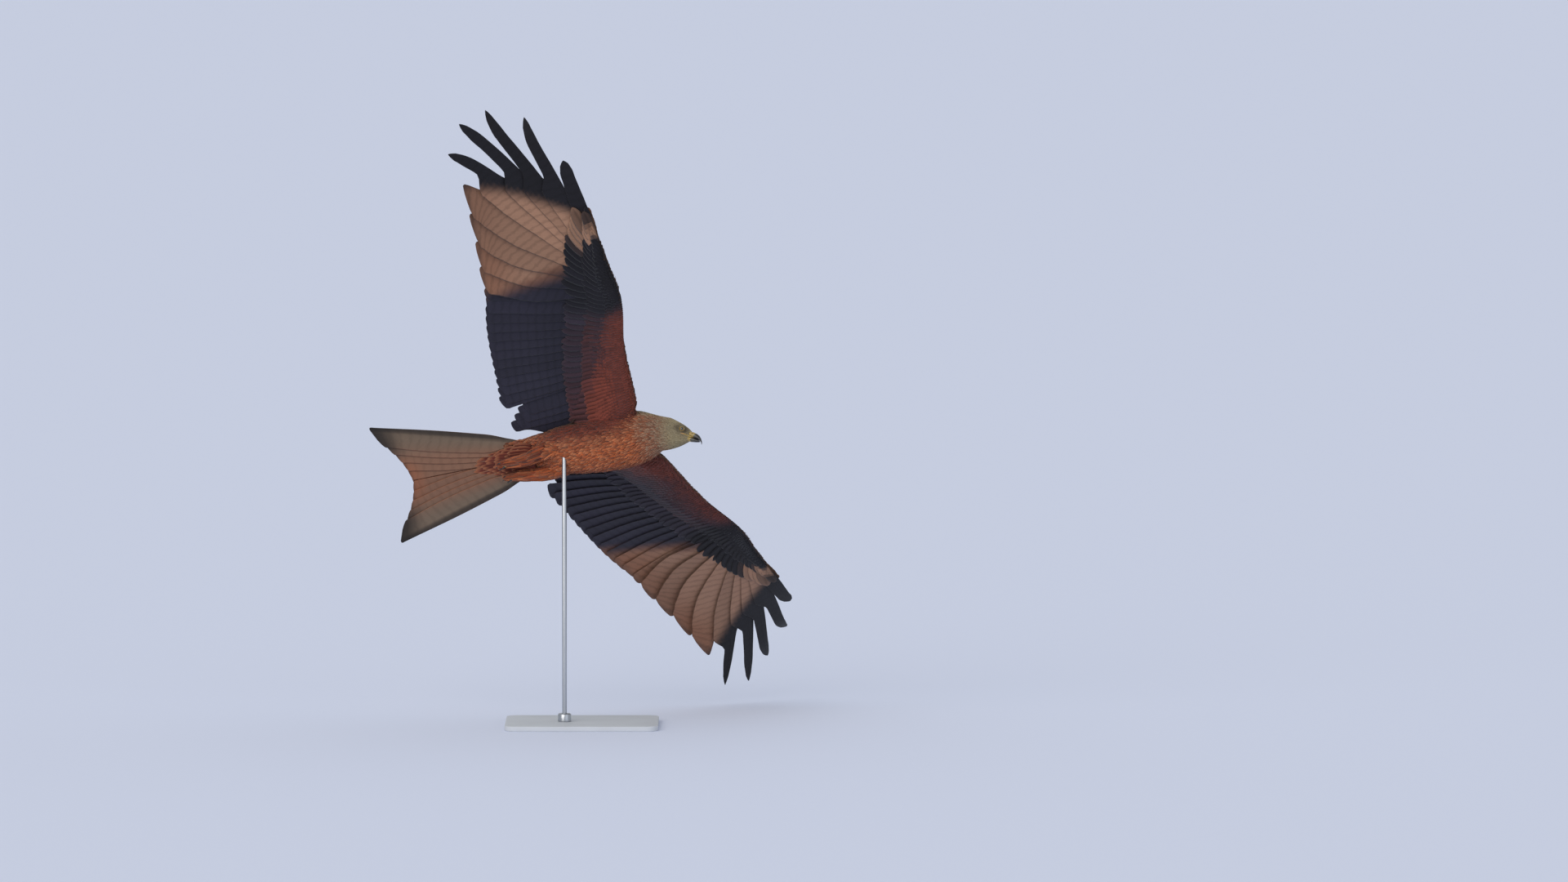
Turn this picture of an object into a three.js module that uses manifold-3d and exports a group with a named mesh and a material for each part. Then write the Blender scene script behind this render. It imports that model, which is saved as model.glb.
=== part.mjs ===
// Red kite in a banked turn, life size, on a plain display stand.
// Millimetres, +Z up. The origin is the centre of the base's underside.
// The bird is drawn in its own frame, +X to the bill, +Y to its left, +Z to its back,
// and is then banked and set on the rod. Each part of the body is its own closed solid.
import * as THREE from "three";
import { mergeVertices } from "three/addons/utils/BufferGeometryUtils.js";
import Module from "manifold-3d";

const wasm = await Module();
wasm.setup();

// Attitude in flight, and the height that keeps the low wing tip clear of the floor
const HEADING_DEG = -19.6;
const CLIMB_DEG = 11.7;
const BANK_DEG = 50;
const BODY_HEIGHT = 552;

// Clearance between neighbouring solids
const GAP = 0.35;

// Body: each row is a cross-section as [x, centre z, half width, height above, height below]
const TORSO_SECTIONS = [
  [-152, 2, 37, 11, 12],
  [-126, 2, 41, 19, 19],
  [-95, 1, 46, 30, 30],
  [-55, 0, 53, 42, 41],
  [-10, -2, 58, 49, 47],
  [35, -2, 61, 52, 51],
  [75, -2, 60, 52, 52],
  [106, -1, 54, 48, 49],
  [128, -2, 46, 42, 44],
];
const BODY_SIDES = 18;
const TORSO_REAR_X = -140;
const TORSO_FRONT_X = 124;

// Head, in a frame of its own: it looks down, and is rolled nearer to level than the body
const HEAD_CENTRE = [187, 0, -14.5];
const HEAD_DOWN_DEG = 25;
const HEAD_ROLL_DEG = 22;
// Rows as [x, half width, height above, height below], from the nape to the bill
const HEAD_SECTIONS = [
  [-26, 27, 25, 44],
  [-12, 25.5, 22.5, 38.5],
  [2, 23, 19.5, 31],
  [12, 20, 16.5, 24],
  [20, 15.5, 13.3, 17.5],
  [26, 11.5, 10.2, 13.5],
  [29, 8.8, 8.4, 11.4],
];
const NECK_STEPS = 2;
const NAPE_X = -20;
const EYE_PLACE = [11, 14.2, 5];
const EYE_RADIUS = 6.6;
const LID_RADIUS = 6;
const LID_THICKNESS = 1.2;
const LID_OUT = 4;
const BROW_SIZE = [10, 4, 2.6];
const BROW_PLACE = [8, 14.6, 11.4];
const MOUTH_Z = -3.2;
const MOUTH_GAP = 0.6;
const MOUTH_CUT = [40, 60];
const GAPE_X = 13;
// Bill rows as [x, half width, top z, bottom z]
const UPPER_BILL = [
  [29.4, 8.4, 8.2, -2.8],
  [36, 7.2, 7.8, -3],
  [43, 5.8, 6, -3.6],
  [49, 4.4, 2.4, -4.4],
  [54, 3, -2.6, -6.6],
  [57, 1.7, -7.2, -9.6],
  [57.8, 0.6, -10.8, -11.5],
];
const LOWER_BILL = [
  [29.4, 7.4, -3.6, -11],
  [36, 6, -3.7, -10.4],
  [43, 4.4, -4.4, -9.4],
  [48, 2.6, -5.4, -8.4],
  [51, 1.1, -6.4, -7.8],
];
const BILL_SIDES = 10;
const NOSTRIL_PLACE = [33.5, 3.2];
const NOSTRIL_RADIUS = 1.3;

// Wing planform and lift, against the distance y out from the midline
const LEADING_EDGE_X = [
  [0, 108], [60, 117], [81, 127], [219, 153], [318, 183],
  [378, 187], [499, 181], [603, 164], [700, 136], [780, 96],
];
const TRAILING_EDGE_X = [
  [0, -150], [120, -150], [234, -130], [330, -103], [385, -78],
  [470, -50], [550, -34], [645, -21], [780, -12],
];
const LEADING_EDGE_Z = [
  [0, 2], [60, 5], [219, 27], [318, 43], [420, 66],
  [520, 97], [620, 135], [700, 162], [780, 180],
];
const TRAILING_EDGE_Z = [
  [0, 26], [120, 29], [234, 31], [385, 38],
  [470, 46], [550, 56], [645, 65], [780, 82],
];
const CAMBER = 8;

// Flesh of the wing: each row is [y, chord, thickness]
const ARM_SECTIONS = [
  [30, 150, 42],
  [60, 144, 38],
  [90, 130, 33],
  [130, 114, 27],
  [172, 104, 22],
  [240, 93, 17.5],
  [300, 80, 15],
  [335, 68, 13],
  [380, 52, 10],
  [425, 38, 8],
  [455, 24, 6],
  [480, 12, 4],
];
const SECTION_CHORD_STEPS = [0.06, 0.2, 0.4, 0.65, 0.85, 1];
const SECTION_FULLNESS = 2.6;
const FLESH_REAR_THICKNESS = 1.6;

// Planes that part upper arm, forearm and hand, as a point and the way that the feathers run there
const ELBOW_POINT = [47, 148];
const ELBOW_RUN = [-223, -37];
const WRIST_POINT = [150, 317];
const WRIST_RUN = [-224, 70];

// Flight feathers: lengths and fan angles out from straight back, inner to outer
const PRIMARY_LENGTH = [235, 244, 261, 291, 332, 398, 409, 371, 298, 187];
const PRIMARY_FAN_DEG = [18.6, 28.5, 38.9, 48.5, 56.8, 63.1, 68.3, 72.2, 78.8, 86.6];
const PRIMARY_TIP_LIFT = [0, 0, 0, 0, 0, -9, -5, 12, 16, 3];
// Where the web narrows on each side, as shares of the length; 1 means that it doesn't
const PRIMARY_TRAIL_NOTCH = [1, 1, 1, 1, 1, 0.76, 0.62, 0.58, 0.6, 0.5];
const PRIMARY_LEAD_NOTCH = [1, 1, 1, 1, 0.8, 0.66, 0.55, 0.5, 0.36, 1];
// Full width of the inner web, and how far its end falls short of the tip for each mm of width
const PRIMARY_TRAIL_WEB = [16, 42, 46, 48, 46, 36, 34, 30, 28, 20];
const PRIMARY_TRAIL_WEB_AT_ROOT = 25;
const WEB_WIDENS_UNTIL = 0.6;
const PRIMARY_RAKE = [0.25, 0.45, 0.6, 0.7, 0.6, 0.2, 0, 0, 0, 0];
// Leading web as [full, past its notch], and the trailing web past its notch
const PRIMARY_LEAD_WEB = [12, 8.5];
const FINGER_TRAIL_WEB = 15;
const NOTCH_RUN = 0.1;
const PRIMARY_ROOT_FROM = [150, 325];
const PRIMARY_ROOT_TO = [174, 420];
const SECONDARY_COUNT = 12;
const SECONDARY_ROOT_FROM = [148, 312];
const SECONDARY_ROOT_TO = [75, 165];
const SECONDARY_TIP_FROM = [-78, 378];
const SECONDARY_TIP_TO = [-148, 128];
const SECONDARY_TIP_BULGE = 12;
const TERTIAL_COUNT = 4;
const TERTIAL_ROOT_FROM = [68, 142];
const TERTIAL_ROOT_TO = [56, 82];
const TERTIAL_TIP_FROM = [-108, 108];
const TERTIAL_TIP_TO = [-150, 60];
const COVERT_LENGTH = 80;
const COVERT_START = 14;
const OUTER_COVERT_START = 42;
const UNDER_COVERT_DEPTH = 6.6;
const UPPER_COVERT_HEIGHT = 5.8;
const SECONDARY_COVERT_COUNT = 9;
const PRIMARY_COVERT_COUNT = 5;
const OUTER_COVERT_SHARE = 0.82;
const COVERT_ROOT_DEPTH = 2.4;
// Share of its length over which a covert rises to full depth, below and above
const UNDER_COVERT_RISE = 0.35;
const UPPER_COVERT_RISE = 0.42;
// Webs of the coverts as [lead, trail]; the first and the last of a row are cut back
const SECONDARY_COVERT_WEBS = [14, 21];
const FIRST_COVERT_LEAD = 6;
const LAST_COVERT_TRAIL = 8;
const PRIMARY_COVERT_WEBS = [12, 22];
const FIRST_PRIMARY_COVERT_WEBS = [8, 6];
const RAKE_FROM = 0.7;
const VANE_TILT_DEG = 6.5;
const PRIMARY_TILT_DEG = 7.5;
const UNDER_COVERT_TILT_DEG = 4.5;
const UPPER_COVERT_TILT_DEG = 6;
const PRIMARY_COVERT_TILT_DEG = 7;
const TAIL_ROOT_TILT_DEG = 14;
const VANE_THICKNESS = 0.6;
const COVERT_THICKNESS = 0.55;
// Thumb feathers: lengths, the first root in plan, the step to the next one, and their webs
const ALULA_LENGTHS = [92, 74, 56];
const ALULA_ROOT = [166, 326];
const ALULA_STEP = [-9, 3];
const ALULA_WEBS = [6, 11];
const ALULA_LEAN = [10, -7];
const ALULA_HEIGHT = [2, 7.5];

// Tail: twisted against the body, as a kite steers
const TAIL_TWIST_DEG = -27.5;
const TWIST_STARTS_X = -50;
const TAIL_PAIRS = 6;
const TAIL_ROOT_X = -142;
const TAIL_ROOT_SPREAD = 33;
const TAIL_FORK_X = -385;
const TAIL_CORNER_X = -447;
const TAIL_TIP_SPREAD = 110;
const TAIL_AXIS_Z = 2;
const MIDLINE_LAP = 0.6;
const TAIL_WEBS = [11, 27];
const TAIL_INNER_Y = [3.5, 9];
const TAIL_DROOP = 3;
const LEFT_MIDDLE_RAISED = 1.6;
const TAIL_BASE_SECTIONS = [
  [-141, 38, 14, 15],
  [-160, 37, 9, 10],
  [-178, 33, 4.6, 5.4],
  [-190, 26, 1.2, 1.6],
];
const TAIL_COVERT_COUNT = 8;
const UNDERTAIL_COVERT_LENGTH = 82;
const UPPERTAIL_COVERT_LENGTH = 96;
const TAIL_COVERT_WEBS = [9, 13];
const TAIL_COVERT_ROOT_SPREAD = 26;
const TAIL_COVERT_FLARE = 1.45;
const OUTER_COVERT_SHORTER = 0.22;
const TAIL_COVERT_ROOT_DEPTH = 3;
const UPPERTAIL_COVERT_HEIGHT = 5.2;
const UNDERTAIL_COVERT_DEPTH = 6.4;
const LEFT_COVERT_STEP = 1.1;

// Legs, folded back under the tail
const THIGH_FROM = [-58, 29, -22];
const THIGH_TO = [-120, 22, -32];
const THIGH_RADII = [12, 16, 15, 11, 7];
const TARSUS_TO = [-162, 18, -29];
const TARSUS_RADIUS = 4.2;
const TOE_LENGTHS = [24, 19, 21, 13];
const TOE_SPREAD_DEG = [0, 17, -17, 0];
const HIND_TOE = 3;
// How far the front toes and the hind toe point down
const FRONT_TOE_DOWN = 0.02;
const HIND_TOE_DOWN = 0.55;
const TOE_ARCH = 1.2;
const TOE_RADIUS = 3.1;
const CLAW_BASE_SHARE = 0.62;
const CLAW_TIP_RADIUS = 0.25;
const CLAW_LENGTH = 11;
const CLAW_CURL_DEG = 75;

// Stand: a steel plate, a collar and one rod into the belly
const BASE_SIZE = [300, 250, 10];
const BASE_CORNER = 24;
const BASE_BEVEL = 1.5;
const ROD_RADIUS = 4.5;
const ROD_IN_BIRD = [-52, 0, -47];
const ROD_DEPTH = 24;
const ROD_SIDES = 20;
const HOLE_BELOW = 60;
const COLLAR_RADIUS = 13;
const COLLAR_HEIGHT = 16;
const BASE_CENTRE_FROM_ROD = [34, 14];

const radians = THREE.MathUtils.degToRad;
const lerp = THREE.MathUtils.lerp;
const smooth = (t) => THREE.MathUtils.smoothstep(t, 0, 1);
const mix = (from, to, t) => from.map((value, i) => lerp(value, to[i], t));

// A smooth function through [at, value] pairs
function through(knots) {
  const tangent = (i) => {
    const a = knots[Math.max(i - 1, 0)];
    const b = knots[Math.min(i + 1, knots.length - 1)];
    return (b[1] - a[1]) / (b[0] - a[0]);
  };
  return (at) => {
    const inside = knots.findIndex((knot) => knot[0] > at);
    const last = knots.length - 2;
    const i = THREE.MathUtils.clamp(inside < 0 ? last : inside - 1, 0, last);
    const [x0, y0] = knots[i];
    const [x1, y1] = knots[i + 1];
    const width = x1 - x0;
    const t = THREE.MathUtils.clamp((at - x0) / width, 0, 1);
    const from = y0 + tangent(i) * t * width;
    const to = y1 - tangent(i + 1) * (1 - t) * width;
    return lerp(from, to, smooth(t));
  };
}

// Closed surfaces and solids

// A closed geometry as a solid that faces out
function solidOf(geometry) {
  const bare = geometry.clone();
  bare.deleteAttribute("normal");
  bare.deleteAttribute("uv");
  const merged = mergeVertices(bare, 1e-4);
  const at = merged.attributes.position;
  const faces = new Uint32Array(merged.index.array);
  let volume = 0;
  const [a, b, c] = [new THREE.Vector3(), new THREE.Vector3(), new THREE.Vector3()];
  for (let i = 0; i < faces.length; i += 3) {
    a.fromBufferAttribute(at, faces[i]);
    b.fromBufferAttribute(at, faces[i + 1]);
    c.fromBufferAttribute(at, faces[i + 2]);
    volume += a.dot(b.cross(c));
  }
  if (volume < 0)
    for (let i = 0; i < faces.length; i += 3) {
      const second = faces[i + 1];
      faces[i + 1] = faces[i + 2];
      faces[i + 2] = second;
    }
  return new wasm.Manifold(new wasm.Mesh({ numProp: 3, vertProperties: at.array, triVerts: faces }));
}

// A geometry from points and triangles
function surface(points, faces) {
  return new THREE.BufferGeometry().setFromPoints(points).setIndex(faces.flat());
}

// A skin over rings of equal count, closed at both ends by a fan
function loft(rings) {
  const count = rings[0].length;
  const points = rings.flat();
  const faces = [];
  for (let i = 0; i + 1 < rings.length; i++)
    for (let j = 0; j < count; j++) {
      const a = i * count + j;
      const b = i * count + ((j + 1) % count);
      faces.push([a, b, b + count], [a, b + count, a + count]);
    }
  for (const [start, turn] of [[0, 1], [(rings.length - 1) * count, 0]]) {
    const middle = new THREE.Vector3();
    for (let j = 0; j < count; j++) middle.addScaledVector(points[start + j], 1 / count);
    const centre = points.push(middle) - 1;
    for (let j = 0; j < count; j++) {
      const a = start + j;
      const b = start + ((j + 1) % count);
      faces.push(turn ? [centre, b, a] : [centre, a, b]);
    }
  }
  return solidOf(surface(points, faces));
}

// A thin strip with its quads split alike on both faces. A station is {lead, trail, up}.
function strip(stations, thickness) {
  const points = [];
  for (const { lead, trail, up } of stations) {
    const half = up.clone().multiplyScalar(thickness / 2);
    points.push(lead.clone().add(half), trail.clone().add(half));
    points.push(trail.clone().sub(half), lead.clone().sub(half));
  }
  const faces = [];
  for (let i = 0; i + 1 < stations.length; i++) {
    const [lt, tt, tl, ll] = [0, 1, 2, 3].map((k) => i * 4 + k);
    const [nlt, ntt, ntl, nll] = [4, 5, 6, 7].map((k) => i * 4 + k);
    faces.push([lt, tt, ntt], [lt, ntt, nlt], [ll, ntl, tl], [ll, nll, ntl]);
    faces.push([tt, tl, ntl], [tt, ntl, ntt], [lt, nll, ll], [lt, nlt, nll]);
  }
  const end = (stations.length - 1) * 4;
  faces.push([0, 3, 2], [0, 2, 1], [end, end + 1, end + 2], [end, end + 2, end + 3]);
  return solidOf(surface(points, faces));
}

// The largest closed body of a solid
function largest(solid) {
  return solid.decompose().reduce((a, b) => (b.volume() > a.volume() ? b : a));
}

function fuse(solids) {
  return largest(wasm.Manifold.union(solids));
}

// Half-space cut: keeps the side that the normal points to, from distance along the normal
function keepSide(solid, normal, distance) {
  return solid.trimByPlane(normal, distance);
}

// Body, neck and head as one skin, parted by thin cuts

const headTurn = new THREE.Matrix4()
  .makeRotationX(radians(HEAD_ROLL_DEG))
  .multiply(new THREE.Matrix4().makeRotationY(radians(HEAD_DOWN_DEG)))
  .setPosition(...HEAD_CENTRE);
const headPoint = (x, y, z) => new THREE.Vector3(x, y, z).applyMatrix4(headTurn);
const headForward = new THREE.Vector3(1, 0, 0).transformDirection(headTurn);

// One ring of a rounded cross-section; size is [half width, height above, height below]
function bodyRing(place, [halfWidth, above, below], grow) {
  return Array.from({ length: BODY_SIDES }, (_, j) => {
    const angle = (2 * Math.PI * j) / BODY_SIDES;
    const height = Math.sin(angle) > 0 ? above : below;
    return place((halfWidth + grow) * Math.cos(angle), (height + grow) * Math.sin(angle));
  });
}

const twistShare = (x) => smooth((TWIST_STARTS_X - x) / (TWIST_STARTS_X - TORSO_REAR_X));

// A point of the trunk at x, twisted about its axis towards the tail
function trunkPoint(x, y, z) {
  const turn = radians(TAIL_TWIST_DEG) * twistShare(x);
  const [cos, sin] = [Math.cos(turn), Math.sin(turn)];
  return new THREE.Vector3(x, y * cos - z * sin, y * sin + z * cos);
}

function torsoRings(grow) {
  return TORSO_SECTIONS.map(([x, z, ...size]) => bodyRing((y, dz) => trunkPoint(x, y, z + dz), size, grow));
}

function headRings() {
  return HEAD_SECTIONS.map(([x, ...size]) => bodyRing((y, z) => headPoint(x, y, z), size, 0));
}

function neckRings(before, after) {
  return Array.from({ length: NECK_STEPS }, (_, i) => {
    const t = (i + 1) / (NECK_STEPS + 1);
    return before.map((point, j) => point.clone().lerp(after[j], t));
  });
}

function wholeBody() {
  const torso = torsoRings(0);
  const head = headRings();
  return loft([...torso, ...neckRings(torso.at(-1), head[0]), ...head]);
}

// The torso alone, grown by the clearance, which trims what grows from it
const torsoClear = loft(torsoRings(GAP));

function ellipsoid(radii, place) {
  const ball = new THREE.SphereGeometry(1, 10, 7).scale(...radii);
  return solidOf(ball.translate(...place).applyMatrix4(headTurn));
}

function eyeBall(side, grow) {
  const [x, y, z] = EYE_PLACE;
  const ball = new THREE.SphereGeometry(EYE_RADIUS + grow, 12, 9).translate(x, side * y, z);
  return solidOf(ball.applyMatrix4(headTurn));
}

function eyeLids(side) {
  const [x, y, z] = EYE_PLACE;
  const ring = new THREE.TorusGeometry(LID_RADIUS, LID_THICKNESS, 5, 14).rotateX(Math.PI / 2);
  return solidOf(ring.translate(x, side * (y + LID_OUT), z).applyMatrix4(headTurn));
}

function brow(side) {
  const [x, y, z] = BROW_PLACE;
  return ellipsoid(BROW_SIZE, [x, side * y, z]);
}

function headSolid(front) {
  const [length, width] = MOUTH_CUT;
  const mouth = new THREE.BoxGeometry(length, width, MOUTH_GAP).translate(GAPE_X + length / 2, 0, MOUTH_Z);
  const whole = fuse([front, eyeLids(1), eyeLids(-1), brow(1), brow(-1)]);
  const sockets = whole.subtract(eyeBall(1, GAP)).subtract(eyeBall(-1, GAP));
  return largest(sockets.subtract(solidOf(mouth.applyMatrix4(headTurn))));
}

function billHalf(rows) {
  const rings = rows.map(([x, halfWidth, top, bottom]) =>
    Array.from({ length: BILL_SIDES }, (_, j) => {
      const angle = (2 * Math.PI * (j + 0.5)) / BILL_SIDES;
      const z = (top + bottom) / 2 + ((top - bottom) / 2) * Math.sin(angle);
      return headPoint(x, halfWidth * Math.cos(angle), z);
    }),
  );
  return loft(rings);
}

function upperBill() {
  const [x, z] = NOSTRIL_PLACE;
  const hole = new THREE.CylinderGeometry(NOSTRIL_RADIUS, NOSTRIL_RADIUS, 40, 8).translate(x, 0, z);
  return largest(billHalf(UPPER_BILL).subtract(solidOf(hole.applyMatrix4(headTurn))));
}

// Wing surface

const leadingX = through(LEADING_EDGE_X);
const trailingX = through(TRAILING_EDGE_X);
const leadingZ = through(LEADING_EDGE_Z);
const trailingZ = through(TRAILING_EDGE_Z);

// Height of the wing's middle surface at a place in plan
function wingHeight(x, y) {
  const share = THREE.MathUtils.clamp((x - trailingX(y)) / (leadingX(y) - trailingX(y)), -0.1, 1.05);
  return lerp(trailingZ(y), leadingZ(y), share) + CAMBER * 4 * share * (1 - share);
}

// Slope of the wing surface along a direction in plan
function wingSlope(x, y, dx, dy) {
  const step = 2;
  return (wingHeight(x + dx * step, y + dy * step) - wingHeight(x - dx * step, y - dy * step)) / (2 * step);
}

// A vane that lies in the wing surface. Widths are [lead, trail] at a share t of the length.
function wingVane(shape) {
  const { side, root, tip, widthAt, stops, tiltDeg, thickness } = shape;
  const { height = () => 0, rake = 0, lift = 0, liftFrom = 0.5 } = shape;
  const run = [tip[0] - root[0], tip[1] - root[1]];
  const length = Math.hypot(...run);
  const [dx, dy] = run.map((value) => value / length);
  const tilt = radians(tiltDeg);
  const stations = stops.map((t) => {
    const [x, y] = mix(root, tip, t);
    const bend = lift * Math.max(0, (t - liftFrom) / (1 - liftFrom)) ** 2;
    const across = new THREE.Vector3(dy, -dx, wingSlope(x, y, dy, -dx)).normalize();
    const along = new THREE.Vector3(dx, dy, wingSlope(x, y, dx, dy)).normalize();
    const up = across.clone().cross(along).normalize();
    const middle = new THREE.Vector3(x, y, wingHeight(x, y) + bend).addScaledVector(up, height(t));
    const edge = across.clone().multiplyScalar(Math.cos(tilt)).addScaledVector(up, Math.sin(tilt));
    const [lead, trail] = widthAt(t);
    const back = -rake * trail * smooth((t - RAKE_FROM) / (1 - RAKE_FROM));
    const mirrored = (v) => new THREE.Vector3(v.x, side * v.y, v.z);
    return {
      lead: mirrored(middle.clone().addScaledVector(edge, lead)),
      trail: mirrored(middle.clone().addScaledVector(edge, -trail).addScaledVector(along, back)),
      up: mirrored(up),
    };
  });
  return strip(stations, thickness);
}

// Share of the full width at t: narrow quill, full web, rounded tip
const webShare = through([[0, 0.2], [0.1, 0.55], [0.28, 1], [0.9, 1], [0.97, 0.72], [1, 0.3]]);

const primaryRoot = (share) => mix(PRIMARY_ROOT_FROM, PRIMARY_ROOT_TO, share);
const primaryFan = through(PRIMARY_FAN_DEG.map((degrees, index) => [index / 9, degrees]));

// Direction in plan of a feather that fans out by an angle from straight back
function fanned(degrees) {
  return [-Math.cos(radians(degrees)), Math.sin(radians(degrees))];
}

// Neighbours bend at the same distances from their roots, so that they stay parallel
const BEND_EVERY = 55;
const BEND_COUNT = 8;
const BENDS_END = 0.84;
const LAST_STOPS = [0.93, 1];

// Where along a primary its stations lie: at the bends, about the notch and at the tip
function primaryStops(length, notch) {
  const bends = Array.from({ length: BEND_COUNT }, (_, i) => (i * BEND_EVERY) / length);
  const early = bends.filter((stop) => stop < BENDS_END);
  const aboutNotch = notch < 1 ? [notch - NOTCH_RUN / 2, notch + NOTCH_RUN / 2] : [];
  const stops = [...early, ...aboutNotch, ...LAST_STOPS].sort((a, b) => a - b);
  return stops.filter((stop, i) => i === 0 || stop - stops[i - 1] > 0.03);
}

function primary(side, index) {
  const root = primaryRoot(index / 9);
  const length = PRIMARY_LENGTH[index];
  const run = fanned(PRIMARY_FAN_DEG[index]);
  const tip = [root[0] + length * run[0], root[1] + length * run[1]];
  const leadNotch = PRIMARY_LEAD_NOTCH[index];
  const trailNotch = PRIMARY_TRAIL_NOTCH[index];
  const stops = primaryStops(length, trailNotch);
  const widthAt = (at) => {
    const lead = lerp(...PRIMARY_LEAD_WEB, smooth((at - leadNotch) / NOTCH_RUN + 0.5));
    const web = PRIMARY_TRAIL_WEB[index];
    const broad = lerp(Math.min(web, PRIMARY_TRAIL_WEB_AT_ROOT), web, smooth(at / WEB_WIDENS_UNTIL));
    const trail = lerp(broad, FINGER_TRAIL_WEB, smooth((at - trailNotch) / NOTCH_RUN + 0.5));
    return [lead * webShare(at), trail * webShare(at)];
  };
  const bend = { lift: PRIMARY_TIP_LIFT[index], liftFrom: Math.min(trailNotch + 0.22, 0.82) };
  const shape = { widthAt, stops, tiltDeg: PRIMARY_TILT_DEG, rake: PRIMARY_RAKE[index], ...bend };
  return wingVane({ side, root, tip, ...shape, thickness: VANE_THICKNESS });
}

const SHORT_STOPS = [0, 0.14, 0.35, 0.62, 0.93, 1];
const COVERT_STOPS = [0, 0.3, 0.88, 1];

// Webs of the arm's feathers as [lead, trail]; those at the ends of each group are cut back
const SECONDARY_WEBS = [13, 30];
const FIRST_SECONDARY_LEAD = 16;
const LAST_SECONDARY_TRAIL = 11;
const TERTIAL_WEBS = [14, 26];
const FIRST_TERTIAL_LEAD = 8.5;
const LAST_TERTIAL_TRAIL = 34;
const LAST_TERTIAL_NARROWS = 0.62;

const secondaryRoot = (share) => mix(SECONDARY_ROOT_FROM, SECONDARY_ROOT_TO, share);

function secondaryTip(share) {
  const [x, y] = mix(SECONDARY_TIP_FROM, SECONDARY_TIP_TO, share);
  return [x - SECONDARY_TIP_BULGE * 4 * share * (1 - share) * (1 - share), y];
}

function secondary(side, index) {
  const t = index / (SECONDARY_COUNT - 1);
  const root = secondaryRoot(t);
  const tip = secondaryTip(t);
  const lead = index === 0 ? FIRST_SECONDARY_LEAD : SECONDARY_WEBS[0];
  const trail = index === SECONDARY_COUNT - 1 ? LAST_SECONDARY_TRAIL : SECONDARY_WEBS[1];
  const widthAt = (at) => [lead * webShare(at), trail * webShare(at)];
  const shape = { widthAt, stops: SHORT_STOPS, tiltDeg: VANE_TILT_DEG };
  return wingVane({ side, root, tip, ...shape, thickness: VANE_THICKNESS });
}

function tertial(side, index) {
  const t = index / (TERTIAL_COUNT - 1);
  const root = mix(TERTIAL_ROOT_FROM, TERTIAL_ROOT_TO, t);
  const tip = mix(TERTIAL_TIP_FROM, TERTIAL_TIP_TO, t);
  const last = index === TERTIAL_COUNT - 1;
  const lead = index === 0 ? FIRST_TERTIAL_LEAD : TERTIAL_WEBS[0];
  const trail = last ? LAST_TERTIAL_TRAIL : TERTIAL_WEBS[1];
  const narrows = last ? LAST_TERTIAL_NARROWS : 0;
  const widthAt = (at) => {
    const kept = 1 - narrows * smooth((at - 0.62) / 0.3);
    return [lead * webShare(at), trail * webShare(at) * kept];
  };
  const shape = { widthAt, stops: SHORT_STOPS, tiltDeg: VANE_TILT_DEG };
  return wingVane({ side, root, tip, ...shape, thickness: VANE_THICKNESS });
}

// A greater covert over the root of a flight feather, above (1) or below (-1) it
function covert({ side, face, root, run, tiltDeg, start = COVERT_START, webs: [lead, trail] }) {
  const from = root.map((value, i) => value + run[i] * start);
  const to = from.map((value, i) => value + run[i] * COVERT_LENGTH);
  const full = face > 0 ? UPPER_COVERT_HEIGHT : UNDER_COVERT_DEPTH;
  const rise = face > 0 ? UPPER_COVERT_RISE : UNDER_COVERT_RISE;
  const height = (t) => face * lerp(COVERT_ROOT_DEPTH, full, smooth(t / rise));
  const widthAt = (at) => [lead * webShare(at), trail * webShare(at)];
  const shape = { widthAt, stops: COVERT_STOPS, tiltDeg, height };
  return wingVane({ side, root: from, tip: to, ...shape, thickness: COVERT_THICKNESS });
}

function secondaryCoverts(side, face) {
  return Array.from({ length: SECONDARY_COVERT_COUNT }, (_, index) => {
    const last = index === SECONDARY_COVERT_COUNT - 1;
    const share = index / (SECONDARY_COVERT_COUNT - 1);
    const root = secondaryRoot(share);
    const tip = secondaryTip(share);
    const length = Math.hypot(tip[0] - root[0], tip[1] - root[1]);
    const run = [(tip[0] - root[0]) / length, (tip[1] - root[1]) / length];
    const tiltDeg = face > 0 ? UPPER_COVERT_TILT_DEG : UNDER_COVERT_TILT_DEG;
    const lead = index === 0 ? FIRST_COVERT_LEAD : SECONDARY_COVERT_WEBS[0];
    const trail = last ? LAST_COVERT_TRAIL : SECONDARY_COVERT_WEBS[1];
    return covert({ side, face, root, run, tiltDeg, webs: [lead, trail] });
  });
}

function primaryCoverts(side, face) {
  return Array.from({ length: PRIMARY_COVERT_COUNT }, (_, index) => {
    const share = lerp(0, OUTER_COVERT_SHARE, index / (PRIMARY_COVERT_COUNT - 1));
    const run = fanned(primaryFan(share));
    const start = lerp(COVERT_START, OUTER_COVERT_START, share);
    const webs = index === 0 ? FIRST_PRIMARY_COVERT_WEBS : PRIMARY_COVERT_WEBS;
    const root = primaryRoot(share);
    return covert({ side, face, root, run, tiltDeg: PRIMARY_COVERT_TILT_DEG, start, webs });
  });
}

// The small feathers of the thumb, on the leading edge of the hand
function alulaFeathers(side) {
  return ALULA_LENGTHS.map((length, index) => {
    const root = ALULA_ROOT.map((value, i) => value + ALULA_STEP[i] * index);
    const tip = [root[0] + ALULA_LEAN[0] + ALULA_LEAN[1] * index, root[1] + length];
    const widthAt = (at) => ALULA_WEBS.map((web) => web * webShare(at));
    const height = (t) => lerp(...ALULA_HEIGHT, smooth(t / UPPER_COVERT_RISE));
    const shape = { widthAt, stops: COVERT_STOPS, tiltDeg: UPPER_COVERT_TILT_DEG, height };
    return wingVane({ side, root, tip, ...shape, thickness: COVERT_THICKNESS });
  });
}

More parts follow.
